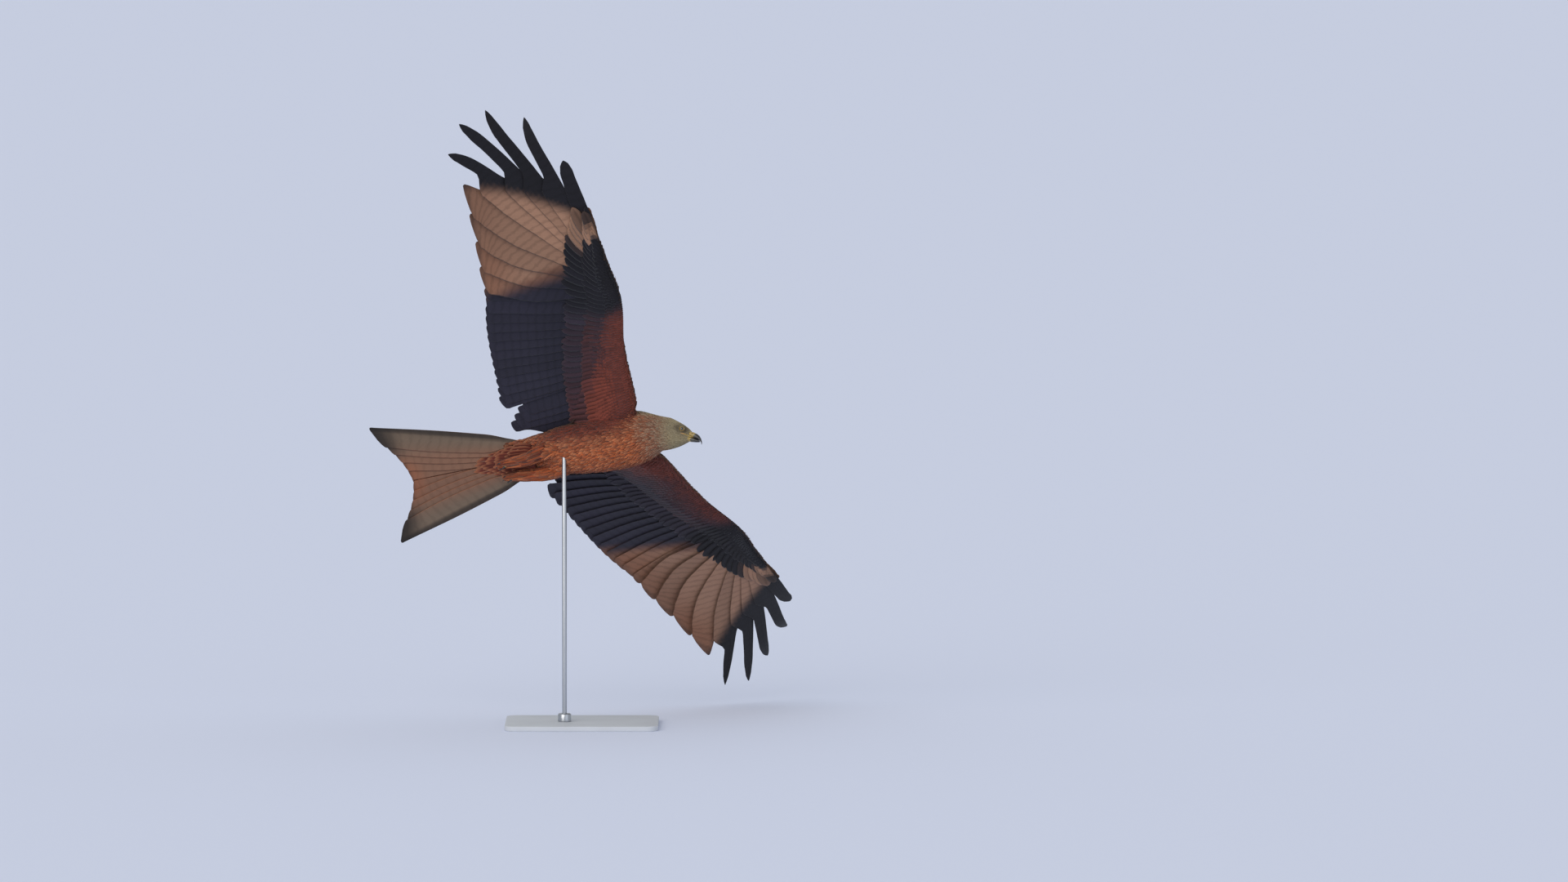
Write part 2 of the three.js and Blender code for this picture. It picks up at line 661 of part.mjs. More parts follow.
// Flesh of the whole arm, from inside the torso to the finger end of the hand
function armFlesh(side) {
  const depth = (share) => SECTION_FULLNESS * Math.sqrt(share) * (1 - share);
  const rings = ARM_SECTIONS.map(([y, chord, thickness]) => {
    const point = (share, face) => {
      const x = leadingX(y) - chord * share;
      const half = face * ((thickness / 2) * depth(share) + (FLESH_REAR_THICKNESS / 2) * share);
      return new THREE.Vector3(x, side * y, wingHeight(x, y) + half);
    };
    const above = SECTION_CHORD_STEPS.map((share) => point(share, 1));
    const below = SECTION_CHORD_STEPS.map((share) => point(share, -1)).reverse();
    return [point(0, 1), ...above, ...below];
  });
  return loft(rings);
}

// Keeps what lies outboard (1) or inboard (-1) of a plane that stands on a line in plan
function beyond(solid, side, [px, py], [rx, ry], way) {
  const size = Math.hypot(rx, ry);
  const normal = [ry / size, (-rx / size) * side, 0];
  const distance = (px * ry - py * rx) / size;
  const outward = -rx > 0 ? 1 : -1;
  const sign = way * outward;
  return keepSide(solid, normal.map((n) => n * sign), sign * distance + GAP / 2);
}

function wingSolids(side) {
  const flesh = armFlesh(side);
  const list = (count, make) => Array.from({ length: count }, (_, index) => make(side, index));
  const hand = fuse([
    beyond(flesh, side, WRIST_POINT, WRIST_RUN, 1),
    ...list(PRIMARY_LENGTH.length, primary),
    ...primaryCoverts(side, 1),
    ...primaryCoverts(side, -1),
    ...alulaFeathers(side),
  ]);
  const middle = beyond(beyond(flesh, side, WRIST_POINT, WRIST_RUN, -1), side, ELBOW_POINT, ELBOW_RUN, 1);
  const forearm = fuse([
    middle,
    ...list(SECONDARY_COUNT, secondary),
    ...secondaryCoverts(side, 1),
    ...secondaryCoverts(side, -1),
  ]);
  const upperArm = fuse([
    beyond(flesh, side, ELBOW_POINT, ELBOW_RUN, -1),
    ...list(TERTIAL_COUNT, tertial),
  ]);
  return {
    hand: largest(beyond(hand, side, WRIST_POINT, WRIST_RUN, 1)),
    forearm: largest(
      beyond(beyond(forearm, side, WRIST_POINT, WRIST_RUN, -1), side, ELBOW_POINT, ELBOW_RUN, 1),
    ),
    upperArm: largest(beyond(upperArm, side, ELBOW_POINT, ELBOW_RUN, -1).subtract(torsoClear)),
  };
}

// Tail

const tailTurn = new THREE.Matrix4().makeRotationX(radians(TAIL_TWIST_DEG));
const tailPoint = (x, y, z) => new THREE.Vector3(x, y, z + TAIL_AXIS_Z).applyMatrix4(tailTurn);

// Tail feathers stay broad right to their squarer tips
const tailShare = through([[0, 0.2], [0.1, 0.55], [0.28, 1], [0.97, 1], [1, 0.6]]);

// A vane in the tail's own plane, on the left (1) or right (-1) half
function tailVane({ half, root, tip, widthAt, stops, height, rake = 0, thickness }) {
  const run = [tip[0] - root[0], tip[1] - root[1]];
  const size = Math.hypot(...run);
  const [dx, dy] = run.map((value) => value / size);
  const turned = (v) => tailPoint(v.x, half * v.y, v.z);
  const stations = stops.map((t) => {
    const [x, y] = mix(root, tip, t);
    const middle = new THREE.Vector3(x, y, height(t));
    const tilt = radians(lerp(TAIL_ROOT_TILT_DEG, VANE_TILT_DEG, smooth(t / 0.5)));
    const edge = new THREE.Vector3(dy * Math.cos(tilt), -dx * Math.cos(tilt), Math.sin(tilt));
    const [lead, trail] = widthAt(t, y);
    const back = -rake * trail * smooth((t - RAKE_FROM) / (1 - RAKE_FROM));
    const inner = middle.clone().addScaledVector(edge, -trail);
    return {
      lead: turned(middle.clone().addScaledVector(edge, lead)),
      trail: turned(inner.add(new THREE.Vector3(dx * back, dy * back, 0))),
      up: new THREE.Vector3(0, 0, 1).transformDirection(tailTurn),
    };
  });
  return strip(stations, thickness);
}

const TAIL_STOPS = [0, 0.12, 0.32, 0.7, 0.97, 1];

// Share of the fork's depth from the middle pair (0) to the outer pair (1)
const forkShare = (t) => 0.25 * t + 0.75 * t * t;

function tailFeathers() {
  return [1, -1].flatMap((half) =>
    Array.from({ length: TAIL_PAIRS }, (_, pair) => {
      const t = pair / (TAIL_PAIRS - 1);
      const root = [TAIL_ROOT_X, lerp(TAIL_INNER_Y[0], TAIL_ROOT_SPREAD, t)];
      const tip = [
        lerp(TAIL_FORK_X, TAIL_CORNER_X, forkShare(t)),
        lerp(TAIL_INNER_Y[1], TAIL_TIP_SPREAD, t),
      ];
      const raised = pair === 0 && half > 0 ? LEFT_MIDDLE_RAISED : 0;
      const height = (at) => raised * smooth(at / 0.2) - TAIL_DROOP * at * at;
      const reach = pair === 0 ? -MIDLINE_LAP : MIDLINE_LAP;
      const widthAt = (at, y) => {
        const [lead, trail] = TAIL_WEBS.map((web) => web * tailShare(at));
        return [lead, Math.min(trail, Math.max(y - reach, 1))];
      };
      const shape = { widthAt, stops: TAIL_STOPS, height, rake: lerp(0.1, 0.85, t) };
      return tailVane({ half, root, tip, ...shape, thickness: VANE_THICKNESS });
    }),
  );
}

// Tail coverts above (1) or below (-1), a fan from side to side
function tailCoverts(face) {
  return Array.from({ length: TAIL_COVERT_COUNT }, (_, index) => {
    const t = index / (TAIL_COVERT_COUNT - 1);
    const across = lerp(-1, 1, t);
    const half = across < 0 ? -1 : 1;
    const longest = face > 0 ? UPPERTAIL_COVERT_LENGTH : UNDERTAIL_COVERT_LENGTH;
    const length = longest * (1 - OUTER_COVERT_SHORTER * across * across);
    const root = [TAIL_ROOT_X - 6, TAIL_COVERT_ROOT_SPREAD * Math.abs(across)];
    const tip = [root[0] - length, root[1] * TAIL_COVERT_FLARE];
    const step = across < 0 ? 0 : LEFT_COVERT_STEP;
    const full = step + (face > 0 ? UPPERTAIL_COVERT_HEIGHT : UNDERTAIL_COVERT_DEPTH);
    const height = (at) => face * lerp(TAIL_COVERT_ROOT_DEPTH, full, smooth(at / 0.3));
    const widthAt = (at, y) => {
      const [lead, trail] = TAIL_COVERT_WEBS.map((web) => web * webShare(at));
      return [lead, Math.min(trail, Math.max(y - MIDLINE_LAP, 1))];
    };
    const shape = { stops: COVERT_STOPS, height, thickness: COVERT_THICKNESS };
    return tailVane({ half, root, tip, widthAt, ...shape });
  });
}

function tailSolid() {
  const base = loft(
    TAIL_BASE_SECTIONS.map(([x, ...size]) => bodyRing((y, dz) => tailPoint(x, y, dz), size, 0)),
  );
  const whole = fuse([base, ...tailFeathers(), ...tailCoverts(1), ...tailCoverts(-1)]);
  return largest(keepSide(whole, [-1, 0, 0], -(TORSO_REAR_X - GAP)));
}

// Legs and feet

// A round limb through points with a radius at each, its rings square to the line
function limb(points, radii, sides) {
  const rings = points.map((point, i) => {
    const before = points[Math.max(i - 1, 0)];
    const after = points[Math.min(i + 1, points.length - 1)];
    const axis = after.clone().sub(before).normalize();
    const across = new THREE.Vector3(0, 1, 0).cross(axis).normalize();
    const other = axis.clone().cross(across);
    return Array.from({ length: sides }, (_, j) => {
      const angle = (2 * Math.PI * j) / sides;
      const around = across.clone().multiplyScalar(Math.cos(angle)).addScaledVector(other, Math.sin(angle));
      return point.clone().addScaledVector(around, radii[i]);
    });
  });
  return loft(rings);
}

const onSide = (side, [x, y, z]) => new THREE.Vector3(x, side * y, z);

function thigh(side) {
  const last = THIGH_RADII.length - 1;
  const points = THIGH_RADII.map((_, i) => onSide(side, mix(THIGH_FROM, THIGH_TO, i / last)));
  return largest(limb(points, THIGH_RADII, 12).subtract(torsoClear));
}

function toeDirection(side, index) {
  const turn = radians(TOE_SPREAD_DEG[index]) * side;
  const down = index === HIND_TOE ? HIND_TOE_DOWN : FRONT_TOE_DOWN;
  return new THREE.Vector3(-Math.cos(turn), Math.sin(turn), -down).normalize();
}

function toeEnd(side, index) {
  return onSide(side, TARSUS_TO).addScaledVector(toeDirection(side, index), TOE_LENGTHS[index]);
}

function foot(side) {
  const from = onSide(side, mix(THIGH_TO, TARSUS_TO, 0.02)).add(new THREE.Vector3(-GAP, 0, 0));
  const ankle = onSide(side, TARSUS_TO);
  const shank = [from, from.clone().lerp(ankle, 0.5), ankle];
  const tarsus = limb(shank, [TARSUS_RADIUS, TARSUS_RADIUS * 0.85, TARSUS_RADIUS], 8);
  const toes = TOE_LENGTHS.map((_, index) => {
    const end = toeEnd(side, index);
    const middle = ankle.clone().lerp(end, 0.5).add(new THREE.Vector3(0, 0, TOE_ARCH));
    return limb([ankle, middle, end], [TOE_RADIUS, TOE_RADIUS * 1.05, TOE_RADIUS * 0.75], 7);
  });
  return fuse([tarsus, ...toes]);
}

// A curved claw that starts just clear of its toe
function claw(side, index) {
  const way = toeDirection(side, index);
  const down = new THREE.Vector3(0, 0, -1);
  const start = toeEnd(side, index).addScaledVector(way, GAP);
  const points = [start];
  const radii = [TOE_RADIUS * CLAW_BASE_SHARE];
  const steps = 3;
  for (let i = 1; i <= steps; i++) {
    const turn = radians(CLAW_CURL_DEG) * ((i - 1) / (steps - 1));
    const heading = way.clone().multiplyScalar(Math.cos(turn)).addScaledVector(down, Math.sin(turn));
    points.push(points[i - 1].clone().addScaledVector(heading, CLAW_LENGTH / steps));
    radii.push(lerp(radii[0], CLAW_TIP_RADIUS, i / steps));
  }
  return limb(points, radii, 5);
}

// Placing the bird on its stand

const bird = new THREE.Group();
bird.rotation.set(radians(-BANK_DEG), radians(-CLIMB_DEG), radians(HEADING_DEG), "ZYX");
bird.position.set(0, 0, BODY_HEIGHT);
bird.updateMatrixWorld(true);

// The rod stands upright in the world; this is its place there, and its hole in the bird's frame
const rodTop = new THREE.Vector3(...ROD_IN_BIRD).applyMatrix4(bird.matrixWorld);

function rodHole() {
  const radius = ROD_RADIUS + GAP;
  const depth = ROD_DEPTH + GAP;
  const length = depth + HOLE_BELOW;
  const hole = new THREE.CylinderGeometry(radius, radius, length, ROD_SIDES).rotateX(Math.PI / 2);
  hole.translate(rodTop.x, rodTop.y, rodTop.z + depth - length / 2);
  return solidOf(hole.applyMatrix4(bird.matrixWorld.clone().invert()));
}

function meshOf(name, solid, material) {
  const { vertProperties, triVerts } = solid.getMesh();
  const geometry = new THREE.BufferGeometry();
  geometry.setAttribute("position", new THREE.BufferAttribute(new Float32Array(vertProperties), 3));
  geometry.setIndex(new THREE.BufferAttribute(new Uint32Array(triVerts), 1));
  geometry.computeVertexNormals();
  const mesh = new THREE.Mesh(geometry, material);
  mesh.name = name;
  return mesh;
}

function finish(color, roughness, metalness = 0) {
  return new THREE.MeshStandardMaterial({ color, roughness, metalness });
}

const rufousPlumage = finish(0x9a5a38, 0.9);
const headPlumage = finish(0xb8ab97, 0.9);
const wingPlumage = finish(0x4a4348, 0.85);
const tailPlumage = finish(0xa8826a, 0.85);
const hornDark = finish(0x24221f, 0.4);
const cereYellow = finish(0xd8b23c, 0.5);
const eyeAmber = finish(0xc9b27a, 0.1);
const plateGrey = finish(0xc4c8cf, 0.5, 0.2);
const rodSteel = finish(0xaab0b8, 0.35, 0.9);

function bodyMeshes() {
  const whole = wholeBody();
  const headPlane = headForward.dot(headPoint(NAPE_X, 0, 0));
  const headNormal = headForward.toArray();
  const backwards = headForward.clone().negate().toArray();
  const behindHead = keepSide(whole, backwards, -(headPlane - GAP / 2));
  const front = keepSide(whole, headNormal, headPlane + GAP / 2);
  const neck = largest(keepSide(behindHead, [1, 0, 0], TORSO_FRONT_X + GAP / 2));
  const behindNeck = keepSide(behindHead, [-1, 0, 0], -(TORSO_FRONT_X - GAP / 2));
  const torso = keepSide(behindNeck, [1, 0, 0], TORSO_REAR_X);
  return [
    meshOf("torso", largest(torso.subtract(rodHole())), rufousPlumage),
    meshOf("neck", neck, headPlumage),
    meshOf("head", headSolid(front), headPlumage),
    meshOf("bill_upper", upperBill(), cereYellow),
    meshOf("bill_lower", billHalf(LOWER_BILL), hornDark),
    meshOf("tail", tailSolid(), tailPlumage),
  ];
}

function sideMeshes(side, word) {
  const wing = wingSolids(side);
  const claws = TOE_LENGTHS.map((_, index) => {
    return meshOf(`claw_${word}_${index + 1}`, claw(side, index), hornDark);
  });
  return [
    meshOf(`eye_${word}`, eyeBall(side, 0), eyeAmber),
    meshOf(`wing_${word}_upper_arm`, wing.upperArm, rufousPlumage),
    meshOf(`wing_${word}_forearm`, wing.forearm, wingPlumage),
    meshOf(`wing_${word}_hand`, wing.hand, wingPlumage),
    meshOf(`thigh_${word}`, thigh(side), rufousPlumage),
    meshOf(`foot_${word}`, foot(side), cereYellow),
    ...claws,
  ];
}

bird.add(...bodyMeshes(), ...sideMeshes(1, "left"), ...sideMeshes(-1, "right"));

// Stand

function roundedPlate([width, depth, height]) {
  const outline = new THREE.Shape();
  const [w, d] = [width / 2 - BASE_BEVEL, depth / 2 - BASE_BEVEL];
  const r = BASE_CORNER;
  outline.moveTo(-w + r, -d);
  outline.lineTo(w - r, -d).absarc(w - r, -d + r, r, -Math.PI / 2, 0);
  outline.lineTo(w, d - r).absarc(w - r, d - r, r, 0, Math.PI / 2);
  outline.lineTo(-w + r, d).absarc(-w + r, d - r, r, Math.PI / 2, Math.PI);
  outline.lineTo(-w, -d + r).absarc(-w + r, -d + r, r, Math.PI, Math.PI * 1.5);
  const settings = { depth: height - 2 * BASE_BEVEL, bevelThickness: BASE_BEVEL, bevelSize: BASE_BEVEL };
  const plate = new THREE.ExtrudeGeometry(outline, { ...settings, bevelSegments: 1, curveSegments: 4 });
  return plate.translate(0, 0, BASE_BEVEL);
}

function standMeshes() {
  const thickness = BASE_SIZE[2];
  const [dx, dy] = BASE_CENTRE_FROM_ROD;
  const plate = solidOf(roundedPlate(BASE_SIZE).translate(rodTop.x + dx, rodTop.y + dy, 0));
  const rodLength = rodTop.z + ROD_DEPTH - thickness - GAP;
  const rod = new THREE.CylinderGeometry(ROD_RADIUS, ROD_RADIUS, rodLength, ROD_SIDES).rotateX(Math.PI / 2);
  rod.translate(rodTop.x, rodTop.y, thickness + GAP + rodLength / 2);
  const inner = ROD_RADIUS + GAP;
  const profile = [
    [inner, 0],
    [COLLAR_RADIUS, 0],
    [COLLAR_RADIUS, COLLAR_HEIGHT - 2],
    [COLLAR_RADIUS - 2, COLLAR_HEIGHT],
    [inner, COLLAR_HEIGHT],
    [inner, 0],
  ].map(([r, z]) => new THREE.Vector2(r, z));
  const collar = new THREE.LatheGeometry(profile, 24).rotateX(Math.PI / 2);
  collar.translate(rodTop.x, rodTop.y, thickness + GAP);
  return [
    meshOf("stand_base", plate, plateGrey),
    meshOf("stand_rod", solidOf(rod), rodSteel),
    meshOf("stand_collar", solidOf(collar), rodSteel),
  ];
}

// The whole model, with its origin under the middle of the base

const model = new THREE.Group();
model.add(bird, ...standMeshes());
model.position.set(-(rodTop.x + BASE_CENTRE_FROM_ROD[0]), -(rodTop.y + BASE_CENTRE_FROM_ROD[1]), 0);
const kite = new THREE.Group();
kite.add(model);

export default kite;
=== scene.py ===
import math

import bmesh
import bpy
import numpy as np
from mathutils import Matrix, Vector
from mathutils.bvhtree import BVHTree
from mathutils.kdtree import KDTree


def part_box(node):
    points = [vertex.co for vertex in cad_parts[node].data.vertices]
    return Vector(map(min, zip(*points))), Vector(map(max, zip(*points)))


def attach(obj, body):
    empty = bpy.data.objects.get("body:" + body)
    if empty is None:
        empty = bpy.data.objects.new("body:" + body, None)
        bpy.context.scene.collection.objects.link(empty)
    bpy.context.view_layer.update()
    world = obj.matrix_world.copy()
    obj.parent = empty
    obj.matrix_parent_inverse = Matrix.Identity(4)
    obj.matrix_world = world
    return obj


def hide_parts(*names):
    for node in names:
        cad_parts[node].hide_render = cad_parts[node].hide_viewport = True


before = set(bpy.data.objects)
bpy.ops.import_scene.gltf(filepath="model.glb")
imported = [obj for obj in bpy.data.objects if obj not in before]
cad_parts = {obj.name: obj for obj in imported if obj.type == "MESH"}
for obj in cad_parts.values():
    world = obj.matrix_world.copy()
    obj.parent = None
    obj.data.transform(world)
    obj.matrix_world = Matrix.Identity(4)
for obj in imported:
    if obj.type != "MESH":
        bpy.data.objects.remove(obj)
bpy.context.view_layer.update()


# Attitude
# The kite hangs on its rod in a banked, climbing turn. Everything on the bird is drawn in the bird's own
# frame in millimetres, +X to the bill, +Y to its left, +Z to its back, and to_room sets it on the rod.
MM = 0.001
HEADING = math.radians(-19.6)
CLIMB = math.radians(11.7)
BANK = math.radians(50)
ROD_IN_BIRD = Vector((-52, 0, -47)) * MM
ROD_DEPTH = 24 * MM

attitude = Matrix.Rotation(HEADING, 3, "Z") @ Matrix.Rotation(-CLIMB, 3, "Y") @ Matrix.Rotation(-BANK, 3, "X")
rod_low, rod_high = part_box("stand_rod")
rod_axis = (rod_low + rod_high) / 2
rod_entry = Vector((rod_axis.x, rod_axis.y, rod_high.z - ROD_DEPTH))
body_centre = rod_entry - attitude @ ROD_IN_BIRD
TURN = np.array(attitude)
CENTRE = np.array(body_centre)


def to_room(points):
    return (np.asarray(points, float) * MM) @ TURN.T + CENTRE


# Camera
# A long lens from far off and just above the floor, in the direction from which the turning bird shows its
# underside. The aim lies ahead of the body, because the bird flies on the left of the picture.
LENS_MM, SENSOR_MM, SEEN_TO = 300, 36, 600
DISTANCE = 25.6
EYE_ELEVATION = math.radians(4)
AIM_FROM_BODY = Vector((0.376, 0, 0.008))


def placed(name, data):
    """A new object in the scene, for a mesh, a lamp or a camera."""
    made = bpy.data.objects.new(name, data)
    bpy.context.scene.collection.objects.link(made)
    return made


camera_data = bpy.data.cameras.new("camera")
camera_data.lens = LENS_MM
camera_data.sensor_width = SENSOR_MM
camera_data.clip_end = SEEN_TO
camera = placed("camera", camera_data)
aim = body_centre + AIM_FROM_BODY
camera_back = Vector((0, -math.cos(EYE_ELEVATION), math.sin(EYE_ELEVATION)))
camera.location = aim + camera_back * DISTANCE
camera.rotation_euler = (-camera_back).to_track_quat("-Z", "Y").to_euler()
bpy.context.scene.camera = camera


# Studio
# One pale floor that runs past the picture on every side, as light as the sky behind a flying bird, a soft
# room light from all round, and two broad lamps: a warm one above the camera's left and a weak cool one.
FLOOR_HALF = 400
FLOOR_COLOUR = (0.765, 0.812, 0.963)
ROOM_COLOUR, ROOM_LIGHT = (0.90, 0.94, 1.0), 0.585
KEY_FROM, KEY_POWER, KEY_COLOUR = Vector((-0.55, -1.0, 0.62)), 1.29, (1.0, 0.95, 0.88)
FILL_FROM, FILL_POWER, FILL_COLOUR = Vector((0.8, -1.0, 0.15)), 0.34, (0.88, 0.93, 1.0)
LAMP_SPREAD = math.radians(50)


class Surface:
    """A new material, with short ways to wire nodes to its shader."""

    def __init__(self, name, colour, roughness):
        self.material = bpy.data.materials.new(name)
        self.material.use_nodes = True
        self.tree = self.material.node_tree
        self.shader = self.tree.nodes["Principled BSDF"]
        self.finish(Base_Color=(*colour, 1), Roughness=roughness)

    def join(self, socket, value):
        """Feeds an input from another node's output, or sets it to a constant."""
        if isinstance(value, bpy.types.NodeSocket):
            self.tree.links.new(value, socket)
        else:
            socket.default_value = value

    def wire(self, node, inputs):
        for name, value in inputs.items():
            self.join(node.inputs[name.replace("_", " ")], value)

    def finish(self, **inputs):
        """Sets the shader's own inputs, with their spaces written as underscores."""
        self.wire(self.shader, inputs)

    def add(self, kind, operation=None, **inputs):
        node = self.tree.nodes.new("ShaderNode" + kind)
        if operation:
            node.operation = operation
        self.wire(node, inputs)
        return node

    def math(self, operation, *inputs):
        node = self.add("Math", operation)
        for socket, value in zip(node.inputs, inputs):
            self.join(socket, value)
        return node.outputs[0]

    def painted(self, name, output):
        """What was painted on the mesh under this name, as a colour or a vector."""
        node = self.add("Attribute")
        node.attribute_name = name
        return node.outputs[output]

    def noise(self, place, scale, detail):
        return self.add("TexNoise", Vector=place, Scale=scale, Detail=detail).outputs["Fac"]

    def tint(self, colour, shade):
        """Makes the shader's colour a colour times a shade."""
        self.finish(Base_Color=self.add("VectorMath", "SCALE", Vector=colour, Scale=shade).outputs[0])

    def relief(self, height, strength, distance):
        self.finish(Normal=self.add("Bump", Height=height, Strength=strength, Distance=distance).outputs[0])


def colour_of(red, green, blue):
    """A colour as seen on a screen, 0 to 255, as the light that a surface returns."""
    share = np.array((red, green, blue), float) / 255
    return np.where(share < 0.04045, share / 12.92, ((share + 0.055) / 1.055) ** 2.4)


def soft_sun(name, toward, power, colour):
    """A broad lamp so far off that it lights the floor evenly."""
    data = bpy.data.lights.new(name, "SUN")
    data.angle = LAMP_SPREAD
    data.energy = power
    data.color = colour
    placed(name, data).rotation_euler = toward.to_track_quat("Z", "Y").to_euler()


floor_mesh = bpy.data.meshes.new("studio_floor")
floor_corners = [(x * FLOOR_HALF, y * FLOOR_HALF, 0) for x, y in ((-1, -1), (1, -1), (1, 1), (-1, 1))]
floor_mesh.from_pydata(floor_corners, [], [(0, 1, 2, 3)])
floor_paint = Surface("studio_floor", FLOOR_COLOUR, 0.9)
floor_paint.finish(Specular_IOR_Level=0.1)
floor_mesh.materials.append(floor_paint.material)
placed("studio_floor", floor_mesh)

world = bpy.data.worlds.new("studio_room")
world.use_nodes = True
world.node_tree.nodes["Background"].inputs["Color"].default_value = (*ROOM_COLOUR, 1)
world.node_tree.nodes["Background"].inputs["Strength"].default_value = ROOM_LIGHT
bpy.context.scene.world = world
bpy.context.scene.view_settings.view_transform = "Standard"
soft_sun("key_lamp", KEY_FROM, KEY_POWER, KEY_COLOUR)
soft_sun("fill_lamp", FILL_FROM, FILL_POWER, FILL_COLOUR)


# Skin
# The bare body under the feathers: trunk, neck, head, thighs, the fleshy part of both wings and the tail's
# root, modelled as one. A taxidermist's mould is carved in one piece too, a coat's depth inside the plumage.
COAT_DEPTH = 3.6
HEAD_COAT_DEPTH = 1.3
WING_COAT_DEPTH = 1.2
SKIN_SIDES = 40
TORSO_ROWS = np.array([
    (-152, 2, 37, 11, 12), (-126, 2, 41, 19, 19), (-95, 1, 46, 30, 30), (-55, 0, 53, 42, 41), (-10, -2, 58, 49, 47),
    (35, -2, 61, 52, 51), (75, -2, 60, 52, 52), (106, -1, 54, 48, 49), (128, -2, 46, 42, 44),
], float)
TAIL_TWIST = math.radians(-27.5)
TWIST_STARTS_X, TWIST_ENDS_X = -50, -140
HEAD_PLACE = np.array((187, 0, -14.5), float)
HEAD_ROLL, HEAD_DOWN = math.radians(22), math.radians(25)
HEAD_ROWS = np.array([
    (-26, 27, 25, 44), (-12, 25.5, 22.5, 38.5), (2, 23, 19.5, 31), (12, 20, 16.5, 24), (20, 15.5, 13.3, 17.5),
    (26, 11.5, 10.2, 13.5), (29, 8.8, 8.4, 11.4),
], float)
EYE_PLACE = np.array((10.6, 12.4, 5), float)
EYE_RADIUS = 6.6
EYE_TURN = math.radians(25)
TAIL_ROOT_ROWS = np.array([(-141, 38, 14, 15), (-160, 37, 9, 10), (-178, 33, 4.6, 5.4)], float)
TAIL_AXIS_Z = 2
THIGH_FROM, THIGH_TO = np.array((-58, 29, -22), float), np.array((-120, 22, -32), float)
THIGH_RADII = (12, 16, 15, 11, 7)
# Wing edges in plan and height, against the distance out from the midline
LEADING_X = ((0, 108), (60, 117), (81, 127), (219, 153), (318, 183), (378, 187), (499, 181), (603, 164),
             (700, 136), (780, 96))
TRAILING_X = ((0, -150), (120, -150), (234, -130), (330, -103), (385, -78), (470, -50), (550, -34), (645, -21),
              (780, -12))
LEADING_Z = ((0, 2), (60, 5), (219, 27), (318, 43), (420, 66), (520, 97), (620, 135), (700, 162), (780, 180))
TRAILING_Z = ((0, 26), (120, 29), (234, 31), (385, 38), (470, 46), (550, 56), (645, 65), (780, 82))
CAMBER = 8
# Fleshy part of the wing: rows of distance out, depth from front to back, thickness
ARM_ROWS = np.array([
    (30, 150, 42), (60, 144, 38), (90, 130, 33), (130, 114, 27), (172, 104, 22), (240, 93, 17.5),
    (300, 80, 15), (335, 68, 13), (380, 52, 10), (425, 38, 8), (455, 24, 6), (480, 12, 4),
], float)
SKIN_VOXEL = 2.15 * MM
SOFTEN_TIMES, SOFTEN_BY = 4, 0.5
# Splits the skin finer in front of this place in the head, and again this near to an eye
FINE_HEAD_X, FINE_EYE_REACH = -9, 13
FACE_FROM_X = -14
TORSO_STATIONS, HEAD_STATIONS, NECK_STATIONS, TAIL_ROOT_STATIONS, THIGH_STATIONS = 57, 28, 7, 12, 13
THIGH_COAT_DEPTH, TAIL_ROOT_COAT_DEPTH = 3.2, 1.0
ARM_SHARES = np.array([0.0, 0.02, 0.06, 0.12, 0.2, 0.3, 0.4, 0.52, 0.65, 0.78, 0.88])
ARM_STEP, ARM_LEAST_HALF, LEADING_INSET = 6.0, 0.9, 1.5


def smooth(t):
    t = np.clip(t, 0, 1)
    return t * t * (3 - 2 * t)


def ramp(value, start, end):
    """A soft change from 0 at the start to 1 at the end, which may lie below the start."""
    return smooth((value - start) / (end - start))


def lerp(a, b, t):
    return a + (b - a) * t


def curve_through(knots):
    """A smooth function through (place, value) pairs."""
    places, values = np.array(knots, float).T
    before = np.maximum(np.arange(len(places)) - 1, 0)
    after = np.minimum(np.arange(len(places)) + 1, len(places) - 1)
    slope = (values[after] - values[before]) / (places[after] - places[before])

    def at(place):
        place = np.asarray(place, float)
        i = np.clip(np.searchsorted(places, place, side="right") - 1, 0, len(places) - 2)
        width = places[i + 1] - places[i]
        t = np.clip((place - places[i]) / width, 0, 1)
        from_left = values[i] + slope[i] * t * width
        from_right = values[i + 1] - slope[i + 1] * (1 - t) * width
        return lerp(from_left, from_right, smooth(t))

    return at


leading_x, trailing_x = curve_through(LEADING_X), curve_through(TRAILING_X)
leading_z, trailing_z = curve_through(LEADING_Z), curve_through(TRAILING_Z)


def wing_height(x, y):
    """Height of the wing's middle surface at a place in plan."""
    share = np.clip((x - trailing_x(y)) / (leading_x(y) - trailing_x(y)), -0.1, 1.05)
    return lerp(trailing_z(y), leading_z(y), share) + CAMBER * 4 * share * (1 - share)


def sided(points, side):
    """Mirrors what is drawn for the left side (1) to the right side (-1)."""
    return points * np.array((1, side, 1))


def turn_about_x(points, angle):
    x, y, z = np.moveaxis(np.asarray(points, float), -1, 0)
    return np.stack([x, y * np.cos(angle) - z * np.sin(angle), y * np.sin(angle) + z * np.cos(angle)], -1)


def trunk_twist(x):
    return TAIL_TWIST * smooth((TWIST_STARTS_X - x) / (TWIST_STARTS_X - TWIST_ENDS_X))


head_turn = np.array(Matrix.Rotation(HEAD_ROLL, 3, "X") @ Matrix.Rotation(HEAD_DOWN, 3, "Y"))


def from_head(points):
    return np.asarray(points, float) @ head_turn.T + HEAD_PLACE


def into_head(points):
    return (np.asarray(points, float) - HEAD_PLACE) @ head_turn


def body_ring(x, centre_z, half_width, above, below):
    angle = np.linspace(0, 2 * np.pi, SKIN_SIDES, endpoint=False)
    height = np.where(np.sin(angle) > 0, above, below)
    return np.stack([np.full(SKIN_SIDES, x), half_width * np.cos(angle), centre_z + height * np.sin(angle)], -1)


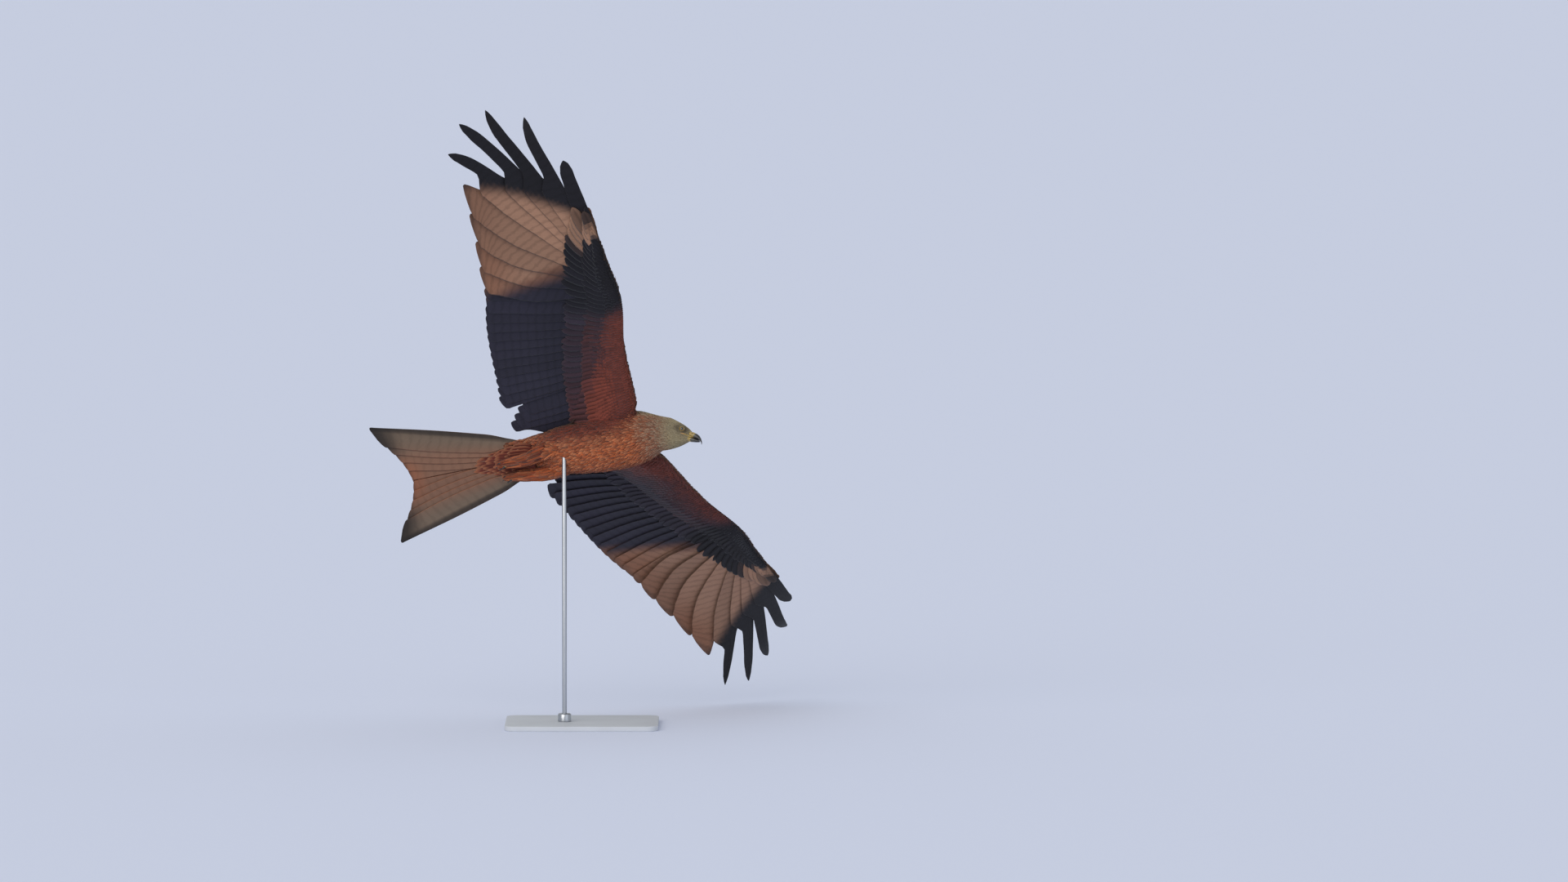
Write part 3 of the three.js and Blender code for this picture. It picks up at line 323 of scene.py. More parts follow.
def rings_along(rows, xs, depth):
    """Rings at the places xs of a body given by rows of place, centre height, half width, above, below."""
    columns = [curve_through(rows[:, (0, i)]) for i in range(1, rows.shape[1])]
    rings = []
    for x in xs:
        centre_z, half_width, above, below = [column(x) for column in columns]
        rings.append(body_ring(x, centre_z, half_width - depth, above - depth, below - depth))
    return rings


def torso_rings():
    places = np.linspace(TORSO_ROWS[0, 0], TORSO_ROWS[-1, 0], TORSO_STATIONS)
    rings = rings_along(TORSO_ROWS, places, COAT_DEPTH)
    return [turn_about_x(ring, trunk_twist(ring[0, 0])) for ring in rings]


def head_rings():
    rows = np.insert(HEAD_ROWS, 1, 0, axis=1)
    places = np.linspace(HEAD_ROWS[0, 0], HEAD_ROWS[-1, 0], HEAD_STATIONS)
    return [from_head(ring) for ring in rings_along(rows, places, HEAD_COAT_DEPTH)]


def trunk_rings():
    torso, head = torso_rings(), head_rings()
    neck = [lerp(torso[-1], head[0], t) for t in np.linspace(0, 1, NECK_STATIONS + 2)[1:-1]]
    return torso + neck + head


def arm_half(thickness, share):
    """Half thickness of the fleshy wing at a share of its depth from front to back."""
    return thickness / 2 * (2.6 * np.sqrt(share) * (1 - share)) + 0.8 * share - WING_COAT_DEPTH


def arm_rings(side):
    rings = []
    for y in np.arange(ARM_ROWS[0, 0], ARM_ROWS[-1, 0], ARM_STEP):
        chord, thickness = [np.interp(y, ARM_ROWS[:, 0], ARM_ROWS[:, i]) for i in (1, 2)]
        x = leading_x(y) - LEADING_INSET - (chord - LEADING_INSET) * ARM_SHARES
        half = np.maximum(arm_half(thickness, ARM_SHARES), ARM_LEAST_HALF)
        middle = wing_height(x, np.full_like(x, y))
        above = np.stack([x, np.full_like(x, side * y), middle + half], -1)
        below = np.stack([x, np.full_like(x, side * y), middle - half], -1)
        rings.append(np.concatenate([above, below[::-1]]))
    return rings


def tail_plane(points):
    """From the tail's own flat frame to the bird's, which it is twisted against."""
    points = np.asarray(points, float) + (0, 0, TAIL_AXIS_Z)
    return turn_about_x(points, TAIL_TWIST)


def tail_root_rings():
    rows = np.insert(TAIL_ROOT_ROWS, 1, 0, axis=1)
    places = np.linspace(TAIL_ROOT_ROWS[0, 0], TAIL_ROOT_ROWS[-1, 0], TAIL_ROOT_STATIONS)
    return [tail_plane(ring) for ring in rings_along(rows, places, TAIL_ROOT_COAT_DEPTH)]


def limb_rings(points, radii, sides=24):
    rings = []
    for i, (point, radius) in enumerate(zip(points, radii)):
        axis = points[min(i + 1, len(points) - 1)] - points[max(i - 1, 0)]
        axis = axis / np.linalg.norm(axis)
        across = np.cross((0, 1, 0), axis)
        across = across / np.linalg.norm(across)
        other = np.cross(axis, across)
        angle = np.linspace(0, 2 * np.pi, sides, endpoint=False)[:, None]
        rings.append(point + radius * (np.cos(angle) * across + np.sin(angle) * other))
    return rings


def thigh_rings(side):
    shares = np.linspace(0, 1, THIGH_STATIONS)
    points = [sided(lerp(THIGH_FROM, THIGH_TO, t), side) for t in shares]
    radii = np.interp(shares, np.linspace(0, 1, len(THIGH_RADII)), THIGH_RADII) - THIGH_COAT_DEPTH
    return limb_rings(points, radii)


def loft_quads(rings, sides, wrapped=False):
    """Quads between neighbouring rings of points, and between the last ring and the first if wrapped."""
    quads = []
    for i in range(rings if wrapped else rings - 1):
        for j in range(sides):
            low, high, k = i * sides, (i + 1) % rings * sides, (j + 1) % sides
            quads.append((low + j, low + k, high + k, high + j))
    return quads


def loft_mesh(name, rings):
    """A closed mesh over rings of equal count, in millimetres."""
    sides, last = len(rings[0]), (len(rings) - 1) * len(rings[0])
    caps = [tuple(reversed(range(sides))), tuple(range(last, last + sides))]
    mesh = bpy.data.meshes.new(name)
    mesh.from_pydata((np.concatenate(rings) * MM).tolist(), [], loft_quads(len(rings), sides) + caps)
    return placed(name, mesh)


def outward(piece):
    """Turns the faces of a closed mesh so that they face out."""
    bpy.context.view_layer.objects.active = piece
    bpy.ops.object.mode_set(mode="EDIT")
    bpy.ops.mesh.select_all(action="SELECT")
    bpy.ops.mesh.normals_make_consistent(inside=False)
    bpy.ops.object.mode_set(mode="OBJECT")


def apply_modifiers(piece):
    depsgraph = bpy.context.evaluated_depsgraph_get()
    made = bpy.data.meshes.new_from_object(piece.evaluated_get(depsgraph))
    old = piece.data
    piece.modifiers.clear()
    piece.data = made
    bpy.data.meshes.remove(old)


def joined(name, parts):
    with bpy.context.temp_override(active_object=parts[0], selected_editable_objects=parts):
        bpy.ops.object.join()
    parts[0].name = parts[0].data.name = name
    return parts[0]


def points_of(mesh):
    """The places of a mesh's vertices in the bird's millimetres, while it still stands in its own frame."""
    points = np.empty(len(mesh.vertices) * 3)
    mesh.vertices.foreach_get("co", points)
    return points.reshape(-1, 3) / MM


def split_finer(mesh, chosen):
    """Splits the faces that touch the chosen vertices in four."""
    made = bmesh.new()
    made.from_mesh(mesh)
    made.verts.ensure_lookup_table()
    edges = {edge for i in np.flatnonzero(chosen) for face in made.verts[i].link_faces for edge in face.edges}
    bmesh.ops.subdivide_edges(made, edges=list(edges), cuts=1, use_grid_fill=True)
    made.to_mesh(mesh)
    made.free()


def eye_offset(in_head):
    """Places counted from the eye on their own side: forward, outward along its gaze, and up."""
    side = np.where(in_head[:, 1] < 0, -1.0, 1.0)
    x, y, z = (in_head * np.stack([np.ones_like(side), side, np.ones_like(side)], 1) - EYE_PLACE).T
    forward = x * math.cos(EYE_TURN) - y * math.sin(EYE_TURN)
    out = x * math.sin(EYE_TURN) + y * math.cos(EYE_TURN)
    return np.stack([forward, out, z], 1), side


def from_eye_frame(offsets, side):
    """The same places turned back into the bird's own frame."""
    forward, out, up = np.moveaxis(np.asarray(offsets, float), -1, 0)
    x = forward * math.cos(EYE_TURN) + out * math.sin(EYE_TURN)
    y = out * math.cos(EYE_TURN) - forward * math.sin(EYE_TURN)
    return from_head(sided(np.stack([x, y, up], -1) + EYE_PLACE, side))


def mouth_height(x):
    """Height of the mouth line in the head: along the bill, then curving down below the eye."""
    return -3.2 - 0.012 * np.maximum(24 - x, 0) ** 2


def carved_face(points):
    """Sinks the eye sockets and the mouth line and raises the brows, the lids' rims and the cheeks."""
    head = into_head(points)
    offset, side = eye_offset(head)
    x, out, z = head[:, 0], np.abs(head[:, 1]), head[:, 2]
    reach = np.hypot(offset[:, 0], offset[:, 2])
    beside = ramp(out, 5, 10) * ramp(x, -16, -8)
    socket = -5.0 * ramp(reach, 5.9, 4.4)
    rim = 0.55 * np.exp(-((reach - 7.2) / 1.1) ** 2)
    brow_line = 10.6 + 0.10 * (x - 8) - 0.012 * (x - 8) ** 2
    brow = np.exp(-((z - brow_line) / 1.9) ** 2) * ramp(x, -6, 3) * ramp(x, 25, 16)
    lore = -1.1 * np.exp(-((x - 21) / 3.6) ** 2 - ((z - 1.5) / 3.4) ** 2)
    mouth = -0.9 * np.exp(-((z - mouth_height(x)) / 0.75) ** 2) * ramp(x, 12, 15)
    cheek = 0.8 * np.exp(-((x - 4) / 7) ** 2 - ((z + 6) / 4) ** 2)
    head[:, 1] += side * beside * (socket + rim + 2.1 * brow + lore + mouth + cheek)
    head[:, 2] += beside * 0.6 * brow
    return from_head(head)


mould_rings = [trunk_rings(), tail_root_rings()]
mould_rings += [rings(side) for rings in (arm_rings, thigh_rings) for side in (1, -1)]
skin = joined("kite_skin", [loft_mesh("mould", rings) for rings in mould_rings])
outward(skin)
fusing = skin.modifiers.new("fusing", "REMESH")
fusing.mode = "VOXEL"
fusing.voxel_size = SKIN_VOXEL
softening = skin.modifiers.new("softening", "SMOOTH")
softening.iterations = SOFTEN_TIMES
softening.factor = SOFTEN_BY
apply_modifiers(skin)
head_x = into_head(points_of(skin.data))[:, 0]
split_finer(skin.data, head_x > FINE_HEAD_X)
eye_reach = np.linalg.norm(eye_offset(into_head(points_of(skin.data)))[0], axis=1)
split_finer(skin.data, eye_reach < FINE_EYE_REACH)
skin_points = points_of(skin.data)
on_face = into_head(skin_points)[:, 0] > FACE_FROM_X
skin_points[on_face] = carved_face(skin_points[on_face])
skin.data.vertices.foreach_set("co", to_room(skin_points).astype(np.float32).ravel())
skin.data.update()
skin.data.shade_smooth()
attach(skin, "root")
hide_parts("torso", "neck", "head", "thigh_left", "thigh_right", "tail")
for word in ("left", "right"):
    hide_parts(*[f"wing_{word}_{part}" for part in ("upper_arm", "forearm", "hand")])


# Breast, belly, back and thighs
# Contour feathers, each a thin closed leaf with a darker shaft streak, sown over the skin from the bill to the
# tail so that each one covers the roots of those behind it. They lie tailward and follow the skin's curves.
LEAF_STATIONS = np.array([0, 0.28, 0.58, 0.84, 1.0])
ROUND_LEAF = np.array([0.30, 0.88, 1.0, 0.72, 0.14])
LANCE_LEAF = np.array([0.45, 0.95, 0.86, 0.44, 0.04])
LEAF_COLUMNS = np.array([-1.0, 0.0, 1.0])
# How thick a feather is, how far its shaft stands out, and how much its sides hang
LEAF_SOLID = (0.26, 0.12, 0.16)
BILL_BASE_X = 210
# Against the distance behind the bill's base: length and width of a feather, and how high its tip lies
LEAF_LENGTH = curve_through([(0, 3.6), (20, 5.4), (50, 9), (80, 15), (120, 22), (200, 26), (300, 29), (350, 34)])
LEAF_WIDTH = curve_through([(0, 1.5), (20, 2.1), (50, 3.3), (80, 5.0), (120, 7.2), (200, 8.6), (350, 11)])
LEAF_RISE = curve_through([(0, 0.6), (30, 1.0), (60, 1.7), (100, 2.7), (350, 3.3)])
LEAF_CROWD, LEAF_YAW, LEAF_SINK, LEAF_RISES_TO = 0.085, 0.08, 0.5, 0.62
COAT_CANDIDATES, FACE_SHARE = 300000, 6
COAT_HALF_WIDTH, COAT_ENDS_X = 72, -176
COAT_STARTS_X, GAPE_FROM_X, GAPE_HALF, LEAST_LEAF = 28.2, 14, 1.3, 1.6
HEAD_FROM_X, NECK_FROM_X, BACK_FROM_Z = -20, 124, 6
BAKE_PATCH = 0.003
DRAW_STEP = 90
random = np.random.default_rng(41)

RUFOUS, RUFOUS_PALE, RUFOUS_DARK = colour_of(178, 90, 48), colour_of(222, 150, 104), colour_of(66, 31, 25)
BREAST_BUFF, BREAST_MAROON = colour_of(142, 88, 64), colour_of(104, 48, 38)
HEAD_GREY, HEAD_STREAK, HEAD_PALE = colour_of(158, 144, 112), colour_of(64, 52, 40), colour_of(208, 198, 170)
# The dark round the eye and in front of it is painted shade under the brow, not a marking of the plumage.
EYE_SHADOW = colour_of(54, 47, 39)
MANTLE_BROWN, MANTLE_EDGE = colour_of(62, 46, 38), colour_of(156, 98, 62)
UNDERTAIL_RUFOUS = colour_of(98, 41, 29)


def normalised(vectors):
    return vectors / np.maximum(np.linalg.norm(vectors, axis=-1, keepdims=True), 1e-9)


def vane_faces(stations, columns):
    """Triangles of one closed vane over a grid of points, and whether each is on its upper face."""
    upper = np.arange(stations * columns).reshape(stations, columns)
    lower = upper.copy()
    inner = stations * columns + np.arange(stations * (columns - 2)).reshape(stations, columns - 2)
    lower[:, 1:-1] = inner
    quads, faces_up = [], []
    for i in range(stations - 1):
        for j in range(columns - 1):
            quads.append((upper[i, j], upper[i, j + 1], upper[i + 1, j + 1], upper[i + 1, j]))
            quads.append((lower[i, j], lower[i + 1, j], lower[i + 1, j + 1], lower[i, j + 1]))
            faces_up += [True, False]
    for i, way in ((0, 1), (stations - 1, -1)):
        for j in range(columns - 1):
            quads.append((upper[i, j], lower[i, j], lower[i, j + 1], upper[i, j + 1])[::way])
            faces_up.append(True)
    triangles, up = [], []
    for (a, b, c, d), on_top in zip(quads, faces_up):
        for corner in ((a, b, c), (a, c, d)):
            if len(set(corner)) == 3:
                triangles.append(corner)
                up.append(on_top)
    return np.array(triangles), np.array(up)


def web_reach(lead, trail, columns):
    """How far the points of a vane lie from its shaft, with the leading web's on the positive side."""
    return np.where(columns > 0, lead[..., None] * columns, trail[..., None] * columns)


def vanes(middle, across, up, lead, trail, columns, thickness, ridge, cup):
    """Closed vanes: middle, across and up are (vane, station, 3), lead and trail the widths of the two webs."""
    count, stations = middle.shape[:2]
    reach = web_reach(lead, trail, columns)
    thick = thickness / 2 * (1 - 0.85 * np.abs(columns) ** 2)
    hump = np.asarray(ridge)[..., None] * (columns == 0)
    hang = -cup * np.abs(reach) * np.abs(columns)
    base = middle[:, :, None] + across[:, :, None] * reach[..., None]
    top = base + up[:, :, None] * (hang + thick + hump)[..., None]
    bottom = base + up[:, :, None] * (hang - thick - hump)[..., None]
    points = np.concatenate([top.reshape(count, -1, 3), bottom[:, :, 1:-1].reshape(count, -1, 3)], 1)
    triangles, on_top = vane_faces(stations, len(columns))
    handed = np.einsum("ni,ni->n", np.cross(across[:, 1], middle[:, 1] - middle[:, 0]), up[:, 1]) > 0
    faces = np.where(handed[:, None, None], triangles[None], triangles[None, :, ::-1])
    faces = faces + (np.arange(count) * points.shape[1])[:, None, None]
    return points, faces, on_top


def spread(values):
    """Values on the grid of each vane, as (vane, point, ...): its upper points, then its inner lower ones."""
    return np.concatenate([part.reshape(len(part), -1, *part.shape[3:]) for part in (values, values[:, :, 1:-1])], 1)


def triangle_mesh(name, points, triangles):
    mesh = bpy.data.meshes.new(name)
    mesh.vertices.add(len(points))
    mesh.vertices.foreach_set("co", points.astype(np.float32).ravel())
    mesh.loops.add(triangles.size)
    mesh.loops.foreach_set("vertex_index", triangles.astype(np.int32).ravel())
    mesh.polygons.add(len(triangles))
    mesh.polygons.foreach_set("loop_start", np.arange(0, triangles.size, 3, dtype=np.int32))
    mesh.update(calc_edges=True)
    mesh.validate()
    mesh.shade_smooth()
    return mesh


def paint(mesh, colours, places):
    """Paints colours on a mesh, and places for its pattern: within a feather, or on the bird."""
    for name, kind, key, values in (("Plumage", "FLOAT_COLOR", "color", np.insert(colours, 3, 1, axis=1)),
                                    ("Web", "FLOAT_VECTOR", "vector", places)):
        mesh.attributes.new(name, kind, "POINT").data.foreach_set(key, values.astype(np.float32).ravel())


def dressed(name, mesh, surface, slot, *replaced):
    """A mesh as a visible piece of the model."""
    mesh.materials.append(surface.material)
    piece = placed(name, mesh)
    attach(piece, "root")
    if replaced:
        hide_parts(*replaced)


def feather_web(lead, trail, columns, lengths, along, draw):
    """For the barbs' pattern: the way from the shaft, the way from the root, and a place for each feather."""
    reach = web_reach(lead, trail, columns)
    return np.stack(np.broadcast_arrays(reach, lengths[:, None, None] * along, draw[:, None, None] * DRAW_STEP), -1)


def feather_batch(shape, grid, solid, lengths, colours, draw, place):
    """Vanes as points, faces, colours and web, with bake places: a small patch each, at the root's on an unwrap."""
    points, faces, _ = vanes(*shape, grid[1], *solid)
    along, side = np.meshgrid(*grid, indexing="ij")
    share = np.stack([(side + 1) / 2, along], -1)[None].repeat(len(points), 0)
    corners = place[:, None] + (spread(share) - 0.5) * BAKE_PATCH
    web = feather_web(*shape[3:], grid[1], lengths, along, draw)
    return points, faces, spread(colours), spread(web), corners.reshape(-1, 2)[faces.reshape(-1)]


def plumage_piece(name, batches, surface, slot):
    """One joined mesh of batches of vanes; their bake places are counted by the faces' corners."""
    points, faces, colours, web, bake = zip(*batches)
    offsets = np.cumsum([0] + [part.shape[0] * part.shape[1] for part in points[:-1]])
    points, colours, web = [np.concatenate([part.reshape(-1, 3) for part in parts]) for parts in (points, colours, web)]
    faces = np.concatenate([part.reshape(-1, 3) + offset for part, offset in zip(faces, offsets)])
    mesh = triangle_mesh(name, to_room(points), faces)
    paint(mesh, colours, web)
    mesh.uv_layers.new(name="OFBake").data.foreach_set("uv", np.concatenate(bake).astype(np.float32).ravel())
    dressed(name, mesh, surface, slot)


def plumage_surface(name, barb_depth, roughness, bar_depth=0.0, bar_mm=15.0):
    """Feather: its painted colours, barbs slanting from the shaft, faint cross bars, and a soft uneven sheen."""
    surface = Surface(name, (0.2, 0.2, 0.2), roughness)
    web = surface.painted("Web", "Vector")
    split = surface.add("SeparateXYZ", Vector=web)
    from_shaft = surface.math("ABSOLUTE", split.outputs["X"])
    slant = surface.math("MULTIPLY_ADD", from_shaft, -1.1, split.outputs["Y"])
    place = surface.add("CombineXYZ", Y=slant, Z=split.outputs["Z"])
    barbs = surface.noise(place.outputs[0], 1.1, 3.0)
    shade = surface.math("MULTIPLY_ADD", surface.math("SUBTRACT", barbs, 0.5), 4 * barb_depth, 1.0)
    if bar_depth:
        wander = surface.math("MULTIPLY", surface.noise(web, 0.09, 2.0), 5.0)
        bent = surface.math("MULTIPLY_ADD", from_shaft, -0.3, split.outputs["Y"])
        wave = surface.math("SINE", surface.math("MULTIPLY_ADD", bent, 2 * math.pi / bar_mm, wander))
        bar = surface.math("MAXIMUM", surface.math("SUBTRACT", wave, 0.1), 0.0)
        shade = surface.math("MULTIPLY_ADD", bar, -bar_depth, shade)
    surface.tint(surface.painted("Plumage", "Color"), shade)
    surface.relief(barbs, 0.3, 0.0004)
    surface.finish(Specular_IOR_Level=0.2, Sheen_Weight=0.08)
    return surface


skin_tree = BVHTree.FromPolygons(skin_points.tolist(), [tuple(p.vertices) for p in skin.data.polygons])


def on_skin(points):
    """Nearest places on the skin, and the skin's outward directions there."""
    flat = points.reshape(-1, 3)
    found = [skin_tree.find_nearest(point) for point in flat.tolist()]
    places = np.array([hit[0] for hit in found]).reshape(points.shape)
    normals = np.array([hit[1] for hit in found]).reshape(points.shape)
    return places, normals


def body_height(points):
    """Height above the trunk's own middle plane, which turns with the tail."""
    flat = turn_about_x(points, -trunk_twist(points[..., 0]))
    return flat[..., 2]


def skin_candidates(count, face_share=0):
    """Places spread over the skin at random, evenly but for a greater share on the face."""
    skin.data.calc_loop_triangles()
    triangles = np.empty(len(skin.data.loop_triangles) * 3, np.int32)
    skin.data.loop_triangles.foreach_get("vertices", triangles)
    a, b, c = [skin_points[triangles[i::3]] for i in range(3)]
    area = np.linalg.norm(np.cross(b - a, c - a), axis=1) * (1 + face_share * ramp(into_head(a)[:, 0], -8, 6))
    pick = random.choice(len(area), count, p=area / area.sum())
    u, v = random.random((2, count))
    over = u + v > 1
    u, v = np.where(over, 1 - u, u), np.where(over, 1 - v, v)
    normal = normalised(np.cross(b - a, c - a))
    return a[pick] + u[:, None] * (b - a)[pick] + v[:, None] * (c - a)[pick], normal[pick]


def sown(points, spacing):
    """Which of the candidates to keep, so that none is nearer to another than the spacing there."""
    tree = KDTree(len(points))
    for i, point in enumerate(points):
        tree.insert(point, i)
    tree.balance()
    free = np.ones(len(points), bool)
    kept = []
    for i, point in enumerate(points):
        if not free[i]:
            continue
        kept.append(i)
        for _, near, _ in tree.find_range(point, spacing[i]):
            free[near] = False
    return np.array(kept)


def behind_bill(points):
    return BILL_BASE_X - points[..., 0]


def coat_way(points, normals):
    """The lie of the coat: tailward on the trunk, back from the bill on the head, outward to the wings."""
    on_head = ramp(points[:, 0], 120, 170)[:, None]
    head_back = from_head([(-1, 0, 0)]) - from_head([(0, 0, 0)])
    outward_y = np.sign(points[:, 1]) * ramp(np.abs(points[:, 1]), 45, 105) * 0.12
    trunk_back = np.stack([-np.ones(len(points)), -outward_y, np.zeros(len(points))], 1)
    way = lerp(trunk_back, head_back, on_head)
    way = way - normals * np.einsum("ij,ij->i", way, normals)[:, None]
    return normalised(way)


def laid(roots, ways, lengths, rises):
    """Middle lines of feathers that follow the skin, with the directions across and up at each station."""
    line = roots[:, None] + ways[:, None] * (lengths[:, None] * LEAF_STATIONS)[..., None]
    places, normals = on_skin(line)
    risen = smooth(LEAF_STATIONS * LEAF_RISES_TO) / smooth(LEAF_RISES_TO)
    height = rises[:, None] * risen - LEAF_SINK * (1 - LEAF_STATIONS) ** 2
    middle = places + normals * height[..., None]
    along = normalised(np.gradient(middle, axis=1))
    across = normalised(np.cross(along, normals))
    return middle, across, normalised(np.cross(across, along))


def body_unwrap(points, low_x, high_x):
    """The trunk unrolled about its length: the turn about its axis, and the place along it."""
    angle = np.arctan2(points[:, 1], -points[:, 2])
    v = (points[:, 0] - low_x) / (high_x - low_x)
    return np.stack([0.5 + angle / (2 * np.pi), v], 1) * 0.98 + 0.01


def leaf_coat(name, keep, leaves, colours_at, slot, unwrap=None):
    """A coat of contour feathers from their roots, as one mesh."""
    roots, normals, ways, lengths, widths, rises = [values[keep] for values in leaves]
    lance = ramp(behind_bill(roots), 120, 60)[:, None]
    half = widths[:, None] / 2 * lerp(ROUND_LEAF, LANCE_LEAF, lance)
    draw = random.random(len(roots))
    grid = (LEAF_STATIONS, LEAF_COLUMNS)
    colours = colours_at(roots, draw, *np.meshgrid(*grid, indexing="ij"))
    place = unwrap(roots, normals) if unwrap else body_unwrap(roots, roots[:, 0].min(), roots[:, 0].max())
    shape = (*laid(roots, ways, lengths, rises), half, half)
    plumage_piece(name, [feather_batch(shape, grid, LEAF_SOLID, lengths, colours, draw, place)], body_plumage, slot)


def streaked(base, streak, edge, draw, along, side, streak_strength, edge_strength):
    """Feather colours on its grid: a dark streak along the shaft, paler rims, and a draw for the whole feather."""
    tone = (0.72 + 0.56 * draw)[:, None, None, None]
    shaft = ((1 - np.abs(side)) * ramp(along, 0.15, 0.45))[None, ..., None]
    rim = (np.maximum(np.abs(side), ramp(along, 0.75, 1)) * smooth(along / 0.5))[None, ..., None]
    colours = base[:, None, None] * tone
    colours = lerp(colours, streak[:, None, None], shaft * streak_strength[:, None, None, None])
    return lerp(colours, edge[:, None, None], rim * edge_strength[:, None, None, None])


def eye_shadow_mask(points):
    """Painted shade under the brow, round the eye and in front of it: 1 there, fading to 0."""
    face = into_head(points)
    offset, _ = eye_offset(face)
    reach = np.hypot((offset[:, 0] - 3) / 15, (offset[:, 2] + 0.5) / 9.5)
    return (np.exp(-reach ** 3) * ramp(np.abs(face[:, 1]), 4, 8) * (face[:, 0] > -20))[:, None]


def body_base(points):
    """Ground colour of the trunk, neck and head by place, which the skin shows as well, with painted shade round the
    eye, on the flanks and in the wing pits.
    """
    behind = behind_bill(points)
    upper = ramp(body_height(points), -2, 24)[:, None]
    flank_shade = ramp(np.maximum(1.3 * points[:, 1], -points[:, 1]), 22, 52)[:, None]
    under = lerp(HEAD_GREY, BREAST_BUFF, ramp(behind, 24, 62)[:, None])
    under = lerp(under, RUFOUS, ramp(behind, 50, 104)[:, None])
    # Darker maroon on the flanks is painted shade, heavier on the left flank, which turns down and away from the lamps.
    under = lerp(under, BREAST_MAROON, 0.75 * flank_shade * ramp(behind, 58, 118)[:, None])
    under = lerp(under, UNDERTAIL_RUFOUS, ramp(behind, 300, 360)[:, None])
    shoulder = ramp(np.abs(points[:, 1]), 44, 58)[:, None]
    # Maroon toward the wing roots below: painted shade in the wing pits.
    under = lerp(under, BREAST_MAROON, 0.8 * shoulder)
    above = lerp(HEAD_GREY, MANTLE_BROWN, np.maximum(ramp(behind, 60, 120)[:, None], shoulder))
    above = lerp(above, RUFOUS, ramp(behind, 300, 350)[:, None])
    base = lerp(under, above, upper)
    # Painted shade round the eye.
    return lerp(base, EYE_SHADOW, 0.9 * eye_shadow_mask(points))


def body_colours(roots, draw, along, side):
    behind = behind_bill(roots)
    upper = ramp(body_height(roots), -2, 24)[:, None]
    chance = random.random((2, len(roots)))
    streak = lerp(RUFOUS_DARK, HEAD_STREAK, np.maximum(upper[:, 0], ramp(behind, 120, 60))[:, None])
    edge_under = lerp(HEAD_PALE, RUFOUS_PALE, ramp(behind, 60, 110)[:, None])
    edge_above = lerp(HEAD_PALE, MANTLE_EDGE, ramp(behind, 70, 130)[:, None])
    # The pale rims darken as well in the painted shade round the eye.
    edge = lerp(lerp(edge_under, edge_above, upper), EYE_SHADOW * 1.7, 0.9 * eye_shadow_mask(roots))
    edge = lerp(edge, body_base(roots) * 1.4, ramp(np.abs(roots[:, 1]), 40, 54)[:, None])
    streak_strength = lerp(0.85, 0.74, ramp(behind, 90, 210)) * (0.2 + 0.8 * chance[0])
    edge_strength = np.clip(lerp(0.42, 0.66, upper[:, 0]) * (0.15 + 1.5 * chance[1] ** 2), 0, 0.92)
    return streaked(body_base(roots), streak, edge, draw, along, side, streak_strength, edge_strength)


body_plumage = plumage_surface("contour_feather", 0.16, 0.82)
candidates, candidate_normals = skin_candidates(COAT_CANDIDATES, FACE_SHARE)
in_head = into_head(candidates)
eye_gap = np.hypot(*eye_offset(in_head)[0][:, (0, 2)].T)
on_gape = (in_head[:, 0] > GAPE_FROM_X) & (np.abs(in_head[:, 2] - mouth_height(in_head[:, 0])) < GAPE_HALF)
bare = (in_head[:, 0] > COAT_STARTS_X) | on_gape | ((in_head[:, 0] > 0) & (eye_gap < EYE_RADIUS - 0.3))
on_trunk = (np.abs(candidates[:, 1]) < COAT_HALF_WIDTH) & (candidates[:, 0] > COAT_ENDS_X) & ~bare
candidates, candidate_normals = candidates[on_trunk], candidate_normals[on_trunk]
above_body = ramp(body_height(candidates), 5, 25) * ramp(behind_bill(candidates), 60, 120)
candidate_length = LEAF_LENGTH(behind_bill(candidates)) * lerp(1.0, 1.15, above_body)
candidate_width = LEAF_WIDTH(behind_bill(candidates)) * lerp(1.0, 1.35, above_body)
kept = sown(candidates, np.sqrt(LEAF_CROWD * candidate_length * candidate_width))
roots, root_normals = candidates[kept], candidate_normals[kept]
root_ways = coat_way(roots, root_normals)
yaw = random.normal(0, LEAF_YAW, len(roots))[:, None]
root_ways = normalised(root_ways + yaw * np.cross(root_normals, root_ways))
leaf_lengths = candidate_length[kept] * random.uniform(0.88, 1.12, len(roots))
leaf_widths = candidate_width[kept] * random.uniform(0.9, 1.1, len(roots))
leaf_rises = LEAF_RISE(behind_bill(roots)) * random.uniform(0.85, 1.1, len(roots))
root_in_head = into_head(roots)
from_eye = eye_offset(root_in_head)[0]
to_eye = np.hypot(from_eye[:, 0], from_eye[:, 2]) - EYE_RADIUS + 0.9
ahead_of_eye = (from_eye[:, 0] > -2) & (to_eye < leaf_lengths)
leaf_lengths = np.where(ahead_of_eye, np.maximum(to_eye, LEAST_LEAF), leaf_lengths)
leaf_rises = np.where(ahead_of_eye, leaf_rises * 0.6, leaf_rises)

is_head = root_in_head[:, 0] > HEAD_FROM_X
is_neck = ~is_head & (roots[:, 0] > NECK_FROM_X)
is_back = ~is_head & ~is_neck & (body_height(roots) > BACK_FROM_Z)
is_breast = ~is_head & ~is_neck & ~is_back
leaves = (roots, root_normals, root_ways, leaf_lengths, leaf_widths, leaf_rises)
for name, keep, slot in (("head", is_head, "plumage_head"), ("neck", is_neck, "plumage_head"),
                         ("back", is_back, "plumage_rufous"), ("breast", is_breast, "plumage_rufous")):
    leaf_coat(f"{name}_feathers", keep, leaves, body_colours, slot)


